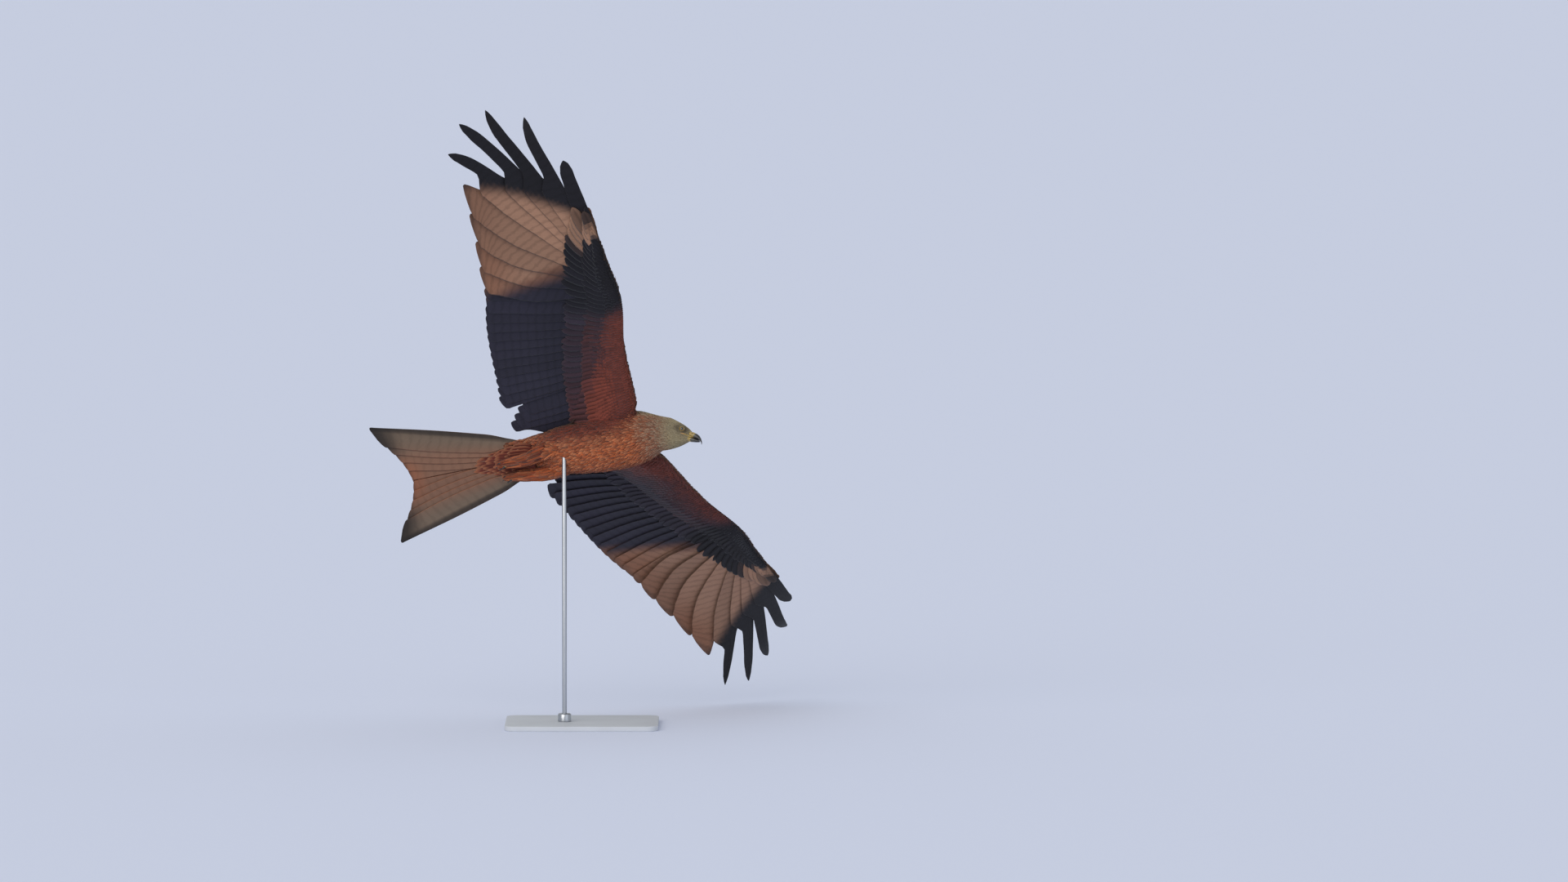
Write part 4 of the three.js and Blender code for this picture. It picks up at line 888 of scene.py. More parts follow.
# Eyes
# Each is a moist ball in its socket with a black pupil and an amber iris, held by a bare ring of lid skin
# that is heavier above, under the brow. A taxidermist sets glass eyes and models the lids round them.
BALL_RADIUS, CORNEA_RISE = 6.3, 0.45
BALL_SIDES = 48
EYE_GAZE = np.array((0.02, 1.0, -0.05))
PUPIL_ANGLE, IRIS_ANGLE = math.radians(26), math.radians(62)
PUPIL_BLACK, IRIS_INNER, IRIS_AMBER, IRIS_RIM = (
    colour_of(8, 7, 8), colour_of(124, 94, 48), colour_of(166, 138, 84), colour_of(54, 44, 28))
BALL_DARK, LID_GREY, LID_EDGE = colour_of(52, 38, 34), colour_of(104, 94, 66), colour_of(48, 42, 34)
LID_SIDES = 56


def in_triangles(quads):
    return [corners for a, b, c, d in quads for corners in ((a, b, c), (a, c, d))]


def closed_loft(rings):
    """Points and faces of a closed surface over rings of equal count, with a fan at each end."""
    sides, last = len(rings[0]), (len(rings) - 1) * len(rings[0])
    points = np.concatenate([*rings, [np.mean(rings[0], axis=0), np.mean(rings[-1], axis=0)]])
    faces = in_triangles(loft_quads(len(rings), sides))
    for j in range(sides):
        k = (j + 1) % sides
        faces += [(len(points) - 2, k, j), (len(points) - 1, last + j, last + k)]
    return points, np.array(faces)


def round_loft(rings):
    """Points and faces of a ring-shaped surface whose last ring joins the first."""
    quads = loft_quads(len(rings), len(rings[0]), wrapped=True)
    return np.concatenate(rings), np.array(in_triangles(quads))


def capped(tones):
    """The colours of a closed loft's rings, with those of its two end points."""
    return np.concatenate([*tones, tones[0][:1], tones[-1][:1]])


def facing_out(points, faces):
    """The same faces, turned if need be so that the closed surface faces out."""
    a, b, c = [(points - points.mean(0))[faces[:, i]] for i in range(3)]
    return faces if np.einsum("ij,ij->", a, np.cross(b, c)) > 0 else faces[:, ::-1]


def merged_mesh(name, parts, into_room):
    """A mesh of several closed surfaces, each given by its points and faces."""
    offsets = np.cumsum([0] + [len(points) for points, *_ in parts[:-1]])
    faces = [facing_out(points, faces) + offset for (points, faces, *_), offset in zip(parts, offsets)]
    points = np.concatenate([points for points, *_ in parts])
    return triangle_mesh(name, into_room(points), np.concatenate(faces)), points


def horny_piece(name, parts, surface, slot, *replaced):
    """A bare part of the bird as one mesh of closed surfaces, painted by point."""
    mesh, points = merged_mesh(name, parts, to_room)
    paint(mesh, np.concatenate([colours for _, _, colours in parts]), points)
    dressed(name, mesh, surface, slot, *replaced)


def horny_surface(name, cell_mm, relief_mm, mottle, roughness, coat=0.0):
    """Bare skin or horn: painted colour, mottled, with fine cells in relief on the bird's own scale."""
    surface = Surface(name, (0.2, 0.2, 0.2), roughness)
    place = surface.painted("Web", "Vector")
    cells = surface.add("TexVoronoi", Vector=place, Scale=1 / cell_mm)
    clouds = surface.noise(place, 0.35 / cell_mm, 4.0)
    shade = surface.add("MapRange", Value=clouds, From_Min=0.3, From_Max=0.7, To_Min=1 - mottle, To_Max=1 + mottle)
    surface.tint(surface.painted("Plumage", "Color"), shade.outputs[0])
    surface.relief(cells.outputs["Distance"], 0.5, relief_mm * MM)
    surface.finish(Coat_Weight=coat, Coat_Roughness=0.03)
    return surface


def eye_ball(side):
    """The ball in rings about its gaze, with the cornea standing a little proud of it."""
    gaze = normalised(EYE_GAZE)
    across = normalised(np.cross(gaze, (0, 0, 1)))
    other = np.cross(gaze, across)
    angles = np.concatenate([np.linspace(0.02, PUPIL_ANGLE, 5), np.linspace(PUPIL_ANGLE + 0.03, IRIS_ANGLE, 9),
                             np.linspace(IRIS_ANGLE + 0.04, np.pi - 0.05, 12)])
    turn = np.linspace(0, 2 * np.pi, BALL_SIDES, endpoint=False)[:, None]
    rings, tones = [], []
    for angle in angles:
        radius = BALL_RADIUS + CORNEA_RISE * (1 - smooth(angle / (IRIS_ANGLE * 1.15)))
        ring = np.cos(angle) * gaze + np.sin(angle) * (np.cos(turn) * across + np.sin(turn) * other)
        rings.append(ring * radius)
        iris = (angle - PUPIL_ANGLE) / (IRIS_ANGLE - PUPIL_ANGLE)
        fibres = 1 + 0.14 * np.sin(23 * turn) * np.sin(11 * turn + 3 * iris)
        tone = lerp(IRIS_INNER, IRIS_AMBER, smooth(iris / 0.4)) * fibres
        tone = lerp(tone, IRIS_RIM, ramp(iris, 0.82, 1))
        tone = lerp(tone, PUPIL_BLACK, float(angle <= PUPIL_ANGLE + 0.001))
        tones.append(lerp(tone, BALL_DARK, float(iris > 1.01)))
    points, faces = closed_loft(rings)
    return from_eye_frame(points, side), faces, capped(tones)


def skin_beside_eye(reach, angle, side):
    """How far out the carved skin lies along the gaze, at a reach and angle about the eye."""
    forward, up = reach * math.cos(angle), reach * math.sin(angle)
    start, toward = from_eye_frame([(forward, 14, up), (forward, 0, up)], side)
    hit = skin_tree.ray_cast(Vector(start), Vector(toward - start))[0]
    return eye_offset(into_head(np.array([hit])))[0][0, 1]


def eye_lid(side):
    """A narrow ring of bare lid skin that grips the ball, with a rounded edge and fine folds, and meets the face."""
    rings, tones = [], []
    for angle in np.linspace(0, 2 * np.pi, LID_SIDES, endpoint=False):
        open_to = 5.2 - 1.3 * max(math.sin(angle), 0) ** 1.5 - 0.2 * max(-math.sin(angle), 0)
        ball_y = math.sqrt(BALL_RADIUS ** 2 - open_to ** 2)
        folds = 0.1 * math.sin(9 * angle) * math.sin(4 * angle + 1)
        face_y = skin_beside_eye(6.9, angle, side)
        crest = max(ball_y + 0.7, 0.5 * (ball_y + face_y + 0.7))
        profile = [(open_to, ball_y - 0.6), (open_to - 0.02, ball_y + 0.2), (open_to + 0.3, crest),
                   (open_to + 0.7, crest + 0.1 + folds), (6.6, face_y + 0.15 + folds), (7.0, face_y - 0.5),
                   (6.9, face_y - 1.6), (open_to + 0.7, min(ball_y, face_y) - 1.8)]
        rings.append([(reach * math.cos(angle), out, reach * math.sin(angle)) for reach, out in profile])
        # The lid is painted a little lighter on its raised folds and darker in their grooves: painted shade in the
        # creases.
        tones.append(np.stack([LID_EDGE] * 2 + [LID_GREY * (1 + folds)] * 4 + [LID_EDGE] * 2))
    points, faces = round_loft(rings)
    return from_eye_frame(points, side), faces, np.concatenate(tones)


eye_surface = horny_surface("moist_eye", 0.6, 0.005, 0.05, 0.08, coat=1.0)
lid_surface = horny_surface("lid_skin", 0.5, 0.12, 0.16, 0.55)
for side, word in ((1, "left"), (-1, "right")):
    horny_piece(f"eyeball_{word}", [eye_ball(side)], eye_surface, "eye", f"eye_{word}")
    horny_piece(f"eyelid_{word}", [eye_lid(side)], lid_surface, "cere", "head")


# Bill
# Upper and lower half are horn over bone, yellow under the soft cere at the base and blackish at the hooked tip,
# with a slit of a nostril on each side and yellow lips that run back along the mouth line.
BILL_SIDES, BILL_STATIONS, LIP_SIDES, LIP_STATIONS = 96, 90, 12, 36
UPPER_BILL = np.array([
    (22.5, 7.0, 6.6, -2.6), (29.4, 8.4, 8.2, -2.8), (36, 7.2, 7.8, -3), (43, 5.8, 6, -3.6), (49, 4.4, 2.4, -4.4),
    (54, 3, -2.6, -6.6), (57, 1.7, -7.2, -9.6), (57.8, 0.6, -10.8, -11.5),
], float)
LOWER_BILL = np.array([
    (22.5, 6.2, -3.6, -9.6), (29.4, 7.2, -3.1, -10.8), (36, 6, -3.1, -10.4), (43, 4.4, -3.7, -9.4),
    (48, 2.9, -4.4, -8.5), (51.5, 1.3, -5.7, -7.6),
], float)
CERE_ENDS_X = 37.5
NOSTRIL_PLACE = (33.4, 3.4)
CERE_YELLOW, HORN_GREY, HORN_BLACK = colour_of(166, 140, 76), colour_of(70, 66, 56), colour_of(26, 25, 26)
MOUTH_PINK = colour_of(196, 150, 96)


def bill_half(rows, upper):
    """One half of the bill: rounded above, flatter below, with the cere's swelling, nostrils and cutting edge."""
    shares = np.linspace(0, 1, len(rows))
    at = np.linspace(0, 1, BILL_STATIONS) ** 0.9
    x, half_width, top, low = [curve_through(np.stack([shares, rows[:, i]], 1))(at) for i in range(4)]
    angle = np.linspace(0, 2 * np.pi, BILL_SIDES, endpoint=False)
    up_share = np.sign(np.sin(angle)) * np.abs(np.sin(angle)) ** np.where(np.sin(angle) > 0, 1.0, 0.75)
    rings, tones = [], []
    for i in range(BILL_STATIONS):
        keel = 1 - (0.16 if upper else -0.05) * np.maximum(np.sin(angle), 0) ** 2
        y = half_width[i] * np.cos(angle) * keel
        z = (top[i] + low[i]) / 2 + (top[i] - low[i]) / 2 * up_share
        cere_end = CERE_ENDS_X + 0.16 * (z - 2) + 0.4 * np.sin(3 * angle) - (0 if upper else 2.5)
        cere = ramp(x[i] - cere_end, 1.2, -1.2)
        swell = 1 + 0.035 * cere * (1 if upper else 0.3)
        ahead = x[i] - NOSTRIL_PLACE[0]
        from_hole = np.hypot(ahead / 2, z - NOSTRIL_PLACE[1] - 0.3 * ahead)
        hole = ramp(from_hole, 0.95, 0.6) * (np.abs(np.cos(angle)) > 0.3) * float(upper)
        y = y * swell - np.sign(y) * 1.5 * hole
        rings.append(np.stack([np.full(BILL_SIDES, x[i]), y, z], -1))
        horn = lerp(HORN_GREY, HORN_BLACK, ramp(x[i], 37, 45)) * np.ones((BILL_SIDES, 3))
        tone = lerp(horn, CERE_YELLOW, cere[:, None])
        # The nostril's shallow dent is painted near black: painted shade for the depth of the opening.
        tones.append(lerp(tone, HORN_BLACK, (0.9 * hole)[:, None]))
    points, faces = closed_loft(rings)
    return from_head(points), faces, capped(tones)


def lip(side, lower):
    """The soft yellow edge of the gape, a fine roll of skin that tapers back below the eye."""
    x = np.linspace(36, 13.5, LIP_STATIONS)
    z = mouth_height(x) + (-0.36 if lower else 0.36)
    width, above = [curve_through(HEAD_ROWS[:, (0, i)])(x) - HEAD_COAT_DEPTH for i in (1, 3)]
    y = width * np.sqrt(np.clip(1 - (z / above) ** 2, 0.2, 1)) + 0.1
    y = lerp(y, np.interp(x, (29, 36), (7.6, 5.8)), ramp(x, 25, 29))
    radii = 0.42 * ramp(x, 12, 19) * ramp(x, 37, 32) + 0.12
    points, faces = closed_loft(limb_rings(list(np.stack([x, side * y, z], -1)), radii, LIP_SIDES))
    tones = lerp(MOUTH_PINK, CERE_YELLOW, ramp(x, 16, 24)[:, None])
    return from_head(points), faces, capped(list(tones[:, None].repeat(LIP_SIDES, 1)))


bill_surface = horny_surface("bill_horn", 1.6, 0.05, 0.12, 0.32, coat=0.25)
for word, rows, slot in (("upper", UPPER_BILL, "cere"), ("lower", LOWER_BILL, "horn")):
    lips = [lip(side, word == "lower") for side in (1, -1)]
    horny_piece(f"bill_{word}_horn", [bill_half(rows, word == "upper"), *lips], bill_surface, slot, f"bill_{word}")


# Feet and claws
# The legs are folded back under the tail. Tarsi and toes are yellow, with broad scutes along the top and small
# scales elsewhere; the four claws of each foot are black horn, curved and tapered to a point.
TARSUS_TO = np.array((-162, 18, -29), float)
TARSUS_RADII = 4.0 * np.array((1, 0.95, 0.88, 0.85, 0.88, 0.96, 0.98))
TOE_RADII = 2.9 * np.array((0.95, 1.0, 0.88, 1.02, 0.84, 0.95, 0.7))
TARSUS_SCUTE, TOE_SCUTE, TOE_ARCH = 3.2, 2.4, 1.2
TOE_LENGTHS = (24, 19, 21, 13)
TOE_SPREAD = np.radians((0, 17, -17, 0))
CLAW_LENGTH, CLAW_RADIUS, CLAW_CURL, CLAW_STEPS = 11, 1.85, math.radians(75), 14
FOOT_YELLOW, FOOT_SHADE, CLAW_BLACK = colour_of(196, 158, 70), colour_of(132, 100, 48), colour_of(26, 24, 24)


def scaled_limb(points, radii, pitch, sides=20):
    """A limb with scutes: its radius swells over each scute and drops at its edge, more on top than below."""
    fine = np.linspace(0, 1, 6 * len(points))
    whole = np.linspace(0, 1, len(points))
    line = np.stack([curve_through(np.stack([whole, points[:, i]], 1))(fine) for i in range(3)], -1)
    travelled = np.concatenate([[0], np.cumsum(np.linalg.norm(np.diff(line, axis=0), axis=1))])
    radius = curve_through(np.stack([whole, radii], 1))(fine)
    scute = (travelled / pitch) % 1
    rings = limb_rings(list(line), radius, sides)
    tones = []
    for i, centre in enumerate(line):
        on_top = np.clip((rings[i] - centre)[:, 2] / radius[i], -1, 1)
        swell = 1 + 0.07 * (0.35 + 0.65 * np.maximum(on_top, 0)) * (scute[i] - 0.5)
        rings[i] = centre + (rings[i] - centre) * swell[:, None]
        tones.append(lerp(FOOT_YELLOW, FOOT_SHADE, (0.7 * (1 - smooth(scute[i] / 0.3))) * np.ones(sides)[:, None]))
    rings.append(line[-1] + (rings[-1] - line[-1]) * 0.6 + (line[-1] - line[-2]) * 0.6)
    tones.append(tones[-1])
    made, faces = closed_loft(rings)
    return made, faces, capped(tones)


def toe_way(side, toe):
    down = 0.55 if toe == 3 else 0.02
    return normalised(np.array((-math.cos(TOE_SPREAD[toe]), side * math.sin(TOE_SPREAD[toe]), -down)))


def foot_parts(side):
    ankle = sided(TARSUS_TO, side)
    knee = sided(lerp(THIGH_TO, TARSUS_TO, 0.02), side)
    parts = [scaled_limb(np.linspace(knee, ankle, len(TARSUS_RADII)), TARSUS_RADII, TARSUS_SCUTE)]
    for toe, length in enumerate(TOE_LENGTHS):
        line = np.linspace(ankle, ankle + toe_way(side, toe) * length, len(TOE_RADII))
        line[:, 2] += TOE_ARCH * np.sin(np.linspace(0, np.pi, len(TOE_RADII)))
        parts.append(scaled_limb(line, TOE_RADII, TOE_SCUTE))
    return parts


def claw_part(side, toe):
    way = toe_way(side, toe)
    line = [sided(TARSUS_TO, side) + way * (TOE_LENGTHS[toe] - 0.6)]
    for turn in np.linspace(0, CLAW_CURL, CLAW_STEPS):
        step = way * math.cos(turn) + np.array((0, 0, -1)) * math.sin(turn)
        line.append(line[-1] + step * CLAW_LENGTH / CLAW_STEPS)
    radii = CLAW_RADIUS * (1 - np.linspace(0, 1, CLAW_STEPS + 1) ** 1.3) + 0.12
    points, faces = closed_loft(limb_rings(line, radii, sides=16))
    return points, faces, np.repeat(CLAW_BLACK[None], len(points), axis=0)


foot_surface = horny_surface("foot_scales", 1.1, 0.25, 0.14, 0.5)
claw_surface = horny_surface("claw_horn", 2.0, 0.04, 0.15, 0.28, coat=0.3)
for side, word in ((1, "left"), (-1, "right")):
    horny_piece(f"foot_scaled_{word}", foot_parts(side), foot_surface, "foot_skin", f"foot_{word}")
    horny_piece(f"claws_{word}", [claw_part(side, toe) for toe in range(4)], claw_surface, "horn",
                *[f"claw_{word}_{toe}" for toe in (1, 2, 3, 4)])


# Trousers
# Long soft feathers that hang from the thighs and, in flight, close round the folded feet like a sleeve, so that
# little more than the claws shows. They grow in rings, each ring over the roots of the next.
SLEEVE_SHARES = (0, 0.3, 0.52, 0.75, 1.0)
SLEEVE_LINE = np.array([(-66, 28, -21), (-102, 25, -27), (-128, 21, -30), (-156, 18.5, -28), (-193, 17, -26)], float)
SLEEVE_RADII = (15.5, 14.5, 12, 10, 5.5)
TROUSER_STATIONS = np.array([0, 0.16, 0.36, 0.58, 0.8, 0.93, 1.0])
TROUSER_HALF = 4.3 * np.array((0.4, 0.85, 1.0, 0.95, 0.7, 0.42, 0.08))
TROUSER_SOLID = (0.26, 0.12, 0.12)
TROUSER_RINGS, TROUSERS_AROUND = np.linspace(0.14, 0.66, 8), 15


def sleeve_at(share, angle, side):
    """A place on the sleeve round a leg, and its outward direction there."""
    centre = np.stack([curve_through(list(zip(SLEEVE_SHARES, SLEEVE_LINE[:, i])))(share) for i in range(3)], -1)
    radius = curve_through(list(zip(SLEEVE_SHARES, SLEEVE_RADII)))(share)
    outward_way = np.stack(np.broadcast_arrays(0.0 * share, np.cos(angle) * 1.05, np.sin(angle) * 0.95), -1)
    place = centre + radius[..., None] * outward_way
    return sided(place, side), sided(normalised(outward_way), side)


def trouser_feathers(side):
    starts, angles = [], []
    for ring, start in enumerate(TROUSER_RINGS):
        around = np.linspace(0, 2 * np.pi, TROUSERS_AROUND, endpoint=False) + 0.21 * (ring % 2)
        starts += [start + random.uniform(-0.02, 0.02) for _ in around]
        angles += list(around + random.normal(0, 0.06, len(around)))
    starts, angles = np.array(starts), np.array(angles)
    shares = np.clip(starts[:, None] + random.uniform(0.30, 0.36, len(starts))[:, None] * TROUSER_STATIONS, 0, 1.02)
    lift = random.uniform(0.2, 1.6, len(starts))[:, None] * smooth(TROUSER_STATIONS / 0.6)
    middle, up = sleeve_at(shares, angles[:, None] + 0 * shares, side)
    middle = middle + up * lift[..., None]
    along = normalised(np.gradient(middle, axis=1))
    across = normalised(np.cross(along, up))
    return middle, across, normalised(np.cross(across, along))


def span(middle):
    """From root to tip in a straight line."""
    return np.linalg.norm(middle[:, -1] - middle[:, 0], axis=1)


for side, word in ((1, "left"), (-1, "right")):
    middle, across, up = trouser_feathers(side)
    count = len(middle)
    half = np.broadcast_to(TROUSER_HALF, middle.shape[:2])
    draw = random.random(count)
    grid = (TROUSER_STATIONS, LEAF_COLUMNS)
    base = lerp(RUFOUS, UNDERTAIL_RUFOUS, random.random((count, 1)))
    dark, pale = RUFOUS_DARK * np.ones((count, 3)), RUFOUS_PALE * np.ones((count, 3))
    colours = streaked(base, dark, pale, draw, *np.meshgrid(*grid, indexing="ij"),
                       0.5 * random.random(count), 0.45 * random.random(count))
    batch = feather_batch((middle, across, up, half, half), grid, TROUSER_SOLID, span(middle), colours, draw,
                          body_unwrap(middle[:, 0], -150.0, -50.0))
    plumage_piece(f"trousers_{word}", [batch], body_plumage, "plumage_rufous")


# Flight feathers
# Ten primaries fan out from the hand, twelve secondaries stand on the forearm and four tertials on the upper
# arm. Each is a stiff quill with a narrow leading web and a broad trailing one that slides under its neighbour.
PRIMARY_LENGTH = (235, 244, 261, 291, 332, 398, 409, 371, 298, 187)
PRIMARY_FAN = (18.6, 28.5, 38.9, 48.5, 56.8, 63.1, 68.3, 72.2, 78.8, 86.6)
PRIMARY_TIP_LIFT = (0, 0, 0, 0, 0, -9, -5, 12, 16, 3)
PRIMARY_TRAIL_NOTCH = (1, 1, 1, 1, 1, 0.76, 0.62, 0.58, 0.6, 0.5)
PRIMARY_LEAD_NOTCH = (1, 1, 1, 1, 0.8, 0.66, 0.55, 0.5, 0.36, 1)
PRIMARY_TRAIL_WEB = (20, 49, 53, 54, 51, 40, 36, 32, 29, 20)
PRIMARY_RAKE = (0.12, 0.32, 0.48, 0.74, 0.9, 0.4, 0, 0, 0, 0)
PRIMARY_ROOTS = np.array([(150, 325), (174, 420)], float)
SECONDARY_ROOTS = np.array([(148, 312), (75, 165)], float)
SECONDARY_TIPS = np.array([(-78, 378), (-148, 128)], float)
SECONDARY_COUNT, SECONDARY_BAY, TERTIAL_COUNT = 12, 12, 4
TERTIAL_ROOTS = np.array([(68, 142), (56, 82)], float)
TERTIAL_TIPS = np.array([(-108, 108), (-150, 60)], float)
VANE_TILT, PRIMARY_TILT = math.radians(6.5), math.radians(7.5)
VANE_THICKNESS, VANE_CUP = 0.5, 0.035
QUILL_RIDGE, QUILL_THINS_TO = 0.85, 0.25
VANE_STATIONS = np.concatenate([np.linspace(0, 0.9, 38), [0.92, 0.94, 0.96, 0.975, 0.985, 0.993, 1.0]])
VANE_COLUMNS = np.array([-1, -0.96, -0.8, -0.6, -0.38, -0.18, -0.06, 0, 0.1, 0.35, 0.7, 0.94, 1.0])
WEB_SHARE = curve_through([(0, 0.16), (0.1, 0.5), (0.28, 1), (0.94, 1), (0.98, 0.9), (0.993, 0.7), (1, 0.34)])
FINGER_SHARE = curve_through([(0, 0.16), (0.1, 0.5), (0.28, 1), (0.84, 1), (0.94, 0.76), (0.98, 0.42), (1, 0.06)])
FIRST_FINGER, FINGER_LEAD, FINGER_TRAIL = 5, 7.8, 14
PRIMARY_LEAD, PRIMARY_BASE_WEB = 12, 25
SECONDARY_LEAD, SECONDARY_TRAIL, TERTIAL_LEAD, TERTIAL_TRAIL = 13, 30, 14, 26
# The slanting line across the hand where the fingers turn black: distance out at one place, and its slant
FINGERS_FROM_Y, FINGERS_AT_X, FINGERS_SLANT = 508, 150, 0.8
SLOPE_STEP = 2.0

FINGER_BLACK, SLATE, SLATE_PALE = colour_of(22, 21, 27), colour_of(31, 30, 42), colour_of(42, 40, 53)
WINDOW, WINDOW_SHADE, WINDOW_BROWN = colour_of(152, 115, 93), colour_of(80, 60, 52), colour_of(124, 80, 58)
UPPER_BLACK, UPPER_BROWN, TERTIAL_BROWN = colour_of(34, 31, 33), colour_of(50, 42, 38), colour_of(86, 66, 52)


def fanned(degrees):
    angle = np.radians(degrees)
    return np.stack([-np.cos(angle), np.sin(angle)], -1)


def wing_slope(x, y, dx, dy):
    rise = [wing_height(x + dx * step, y + dy * step) for step in (SLOPE_STEP, -SLOPE_STEP)]
    return (rise[0] - rise[1]) / (2 * SLOPE_STEP)


def wing_frames(x, y, dx, dy):
    """Directions along, across to the leading side, and up, for a line in plan on the wing's surface."""
    across = normalised(np.stack([dy, -dx, wing_slope(x, y, dy, -dx)], -1))
    along = normalised(np.stack([dx, dy, wing_slope(x, y, dx, dy)], -1))
    return along, across, normalised(np.cross(across, along))


def wing_feather(root, tip, widths, tilt, rake=0.0, lift=0.0, lift_from=0.5):
    """One feather in the wing's surface: its middle line, leaning edges, and the widths of its two webs."""
    run = np.array(tip, float) - root
    dx, dy = (run / np.linalg.norm(run))[:, None] * np.ones(len(VANE_STATIONS))
    x, y = (np.array(root)[:, None] + run[:, None] * VANE_STATIONS)
    along, across, up = wing_frames(x, y, dx, dy)
    bend = lift * np.maximum(0, (VANE_STATIONS - lift_from) / (1 - lift_from)) ** 2
    middle = np.stack([x, y, wing_height(x, y) + bend], -1)
    edge = across * math.cos(tilt) + up * math.sin(tilt)
    uneven = 1 + 0.012 * np.sin(37 * VANE_STATIONS + 0.2 * root[1]) * np.sin(83 * VANE_STATIONS)
    lead, trail = [width * uneven for width in widths]
    return middle, edge, up, lead, trail, along, rake * ramp(VANE_STATIONS, 0.7, 1)


def primary(index):
    root = lerp(*PRIMARY_ROOTS, index / (len(PRIMARY_LENGTH) - 1))
    tip = root + PRIMARY_LENGTH[index] * fanned(PRIMARY_FAN[index])
    t = VANE_STATIONS
    web = PRIMARY_TRAIL_WEB[index]
    lead = lerp(PRIMARY_LEAD, FINGER_LEAD, ramp(t - PRIMARY_LEAD_NOTCH[index], -0.05, 0.05))
    broad = lerp(min(web, PRIMARY_BASE_WEB), web, smooth(t / 0.6))
    trail = lerp(broad, FINGER_TRAIL, ramp(t - PRIMARY_TRAIL_NOTCH[index], -0.05, 0.05))
    lift_from = min(PRIMARY_TRAIL_NOTCH[index] + 0.22, 0.82)
    share = FINGER_SHARE(t) if index >= FIRST_FINGER else WEB_SHARE(t)
    lift = PRIMARY_TIP_LIFT[index]
    return wing_feather(root, tip, (lead * share, trail * share), PRIMARY_TILT, PRIMARY_RAKE[index], lift, lift_from)


def secondary(index, side):
    """A secondary; the innermost slides under the tertials, more so on the left wing, which is less open."""
    t = index / (SECONDARY_COUNT - 1)
    root = lerp(*SECONDARY_ROOTS, t)
    tip = lerp(*SECONDARY_TIPS, t) - (SECONDARY_BAY * 4 * t * (1 - t) ** 2, 0)
    lead = 16 if index == 0 else SECONDARY_LEAD
    last = index == SECONDARY_COUNT - 1
    trail = (34 if side > 0 else 20) if last else SECONDARY_TRAIL
    share = WEB_SHARE(VANE_STATIONS)
    return wing_feather(root, tip, (lead * share, trail * share), VANE_TILT)


def tertial(index):
    t = index / (TERTIAL_COUNT - 1)
    root, tip = lerp(*TERTIAL_ROOTS, t), lerp(*TERTIAL_TIPS, t)
    last = index == TERTIAL_COUNT - 1
    lead, trail = (8.5 if index == 0 else TERTIAL_LEAD), (34 if last else TERTIAL_TRAIL)
    share = WEB_SHARE(VANE_STATIONS)
    narrowing = 1 - (0.62 if last else 0) * ramp(VANE_STATIONS, 0.62, 0.92)
    return wing_feather(root, tip, (lead * share, trail * share * narrowing), VANE_TILT)


def gathered(feathers, side):
    """Stacks single feathers into one batch, on the left (1) or right (-1) wing."""
    middle, edge, up, lead, trail, along, slant = [np.stack(part) for part in zip(*feathers)]
    return sided(middle, side), sided(edge, side), sided(up, side), lead, trail, sided(along, side), slant


def finger_line(x, y):
    """0 inside the pale window of the hand, 1 beyond the slanting line where the fingers turn black."""
    return ramp(y - (FINGERS_FROM_Y + (FINGERS_AT_X - x) * FINGERS_SLANT), -17, 17)


def window_start(x, y):
    """Distance out at which the pale window begins; on the left wing, which is less open, it is nearer the body."""
    return np.where(y < 0, 394.0, 332 + 0.25 * x)


def flight_colours(points, draw, along, under):
    """Markings of the flight feathers, by place in the wing, on the upper or the under side."""
    x, y = points[..., 0], np.abs(points[..., 1])
    chance = draw[:, None, None]
    fingers = finger_line(x, y)[..., None]
    if under:
        opened = ramp(y - window_start(x, points[..., 1]) + 16 * (chance - 0.5), -20, 20)
        brown = 0.8 * ramp(x, 70, -20) * ramp(along, 0.45, 0.95) * (0.4 + 0.6 * chance)
        window = lerp(WINDOW, WINDOW_BROWN, np.maximum(brown, 0.7 * ramp(opened, 1, 0.7))[..., None])
        slate = lerp(SLATE, SLATE_PALE, ramp(along, 0.2, 0.8)[..., None])
        tone = lerp(slate, window, opened[..., None])
        tone = lerp(tone, WINDOW_SHADE, (0.5 * ramp(along, 0.94, 0.99) * opened)[..., None])
        tone = lerp(tone, FINGER_BLACK, fingers)
        return tone * (0.85 + 0.3 * draw)[:, None, None, None]
    tone = lerp(lerp(UPPER_BROWN, TERTIAL_BROWN, ramp(y, 150, 90)[..., None]), UPPER_BLACK, fingers)
    return tone * (0.88 + 0.24 * draw)[:, None, None, None]


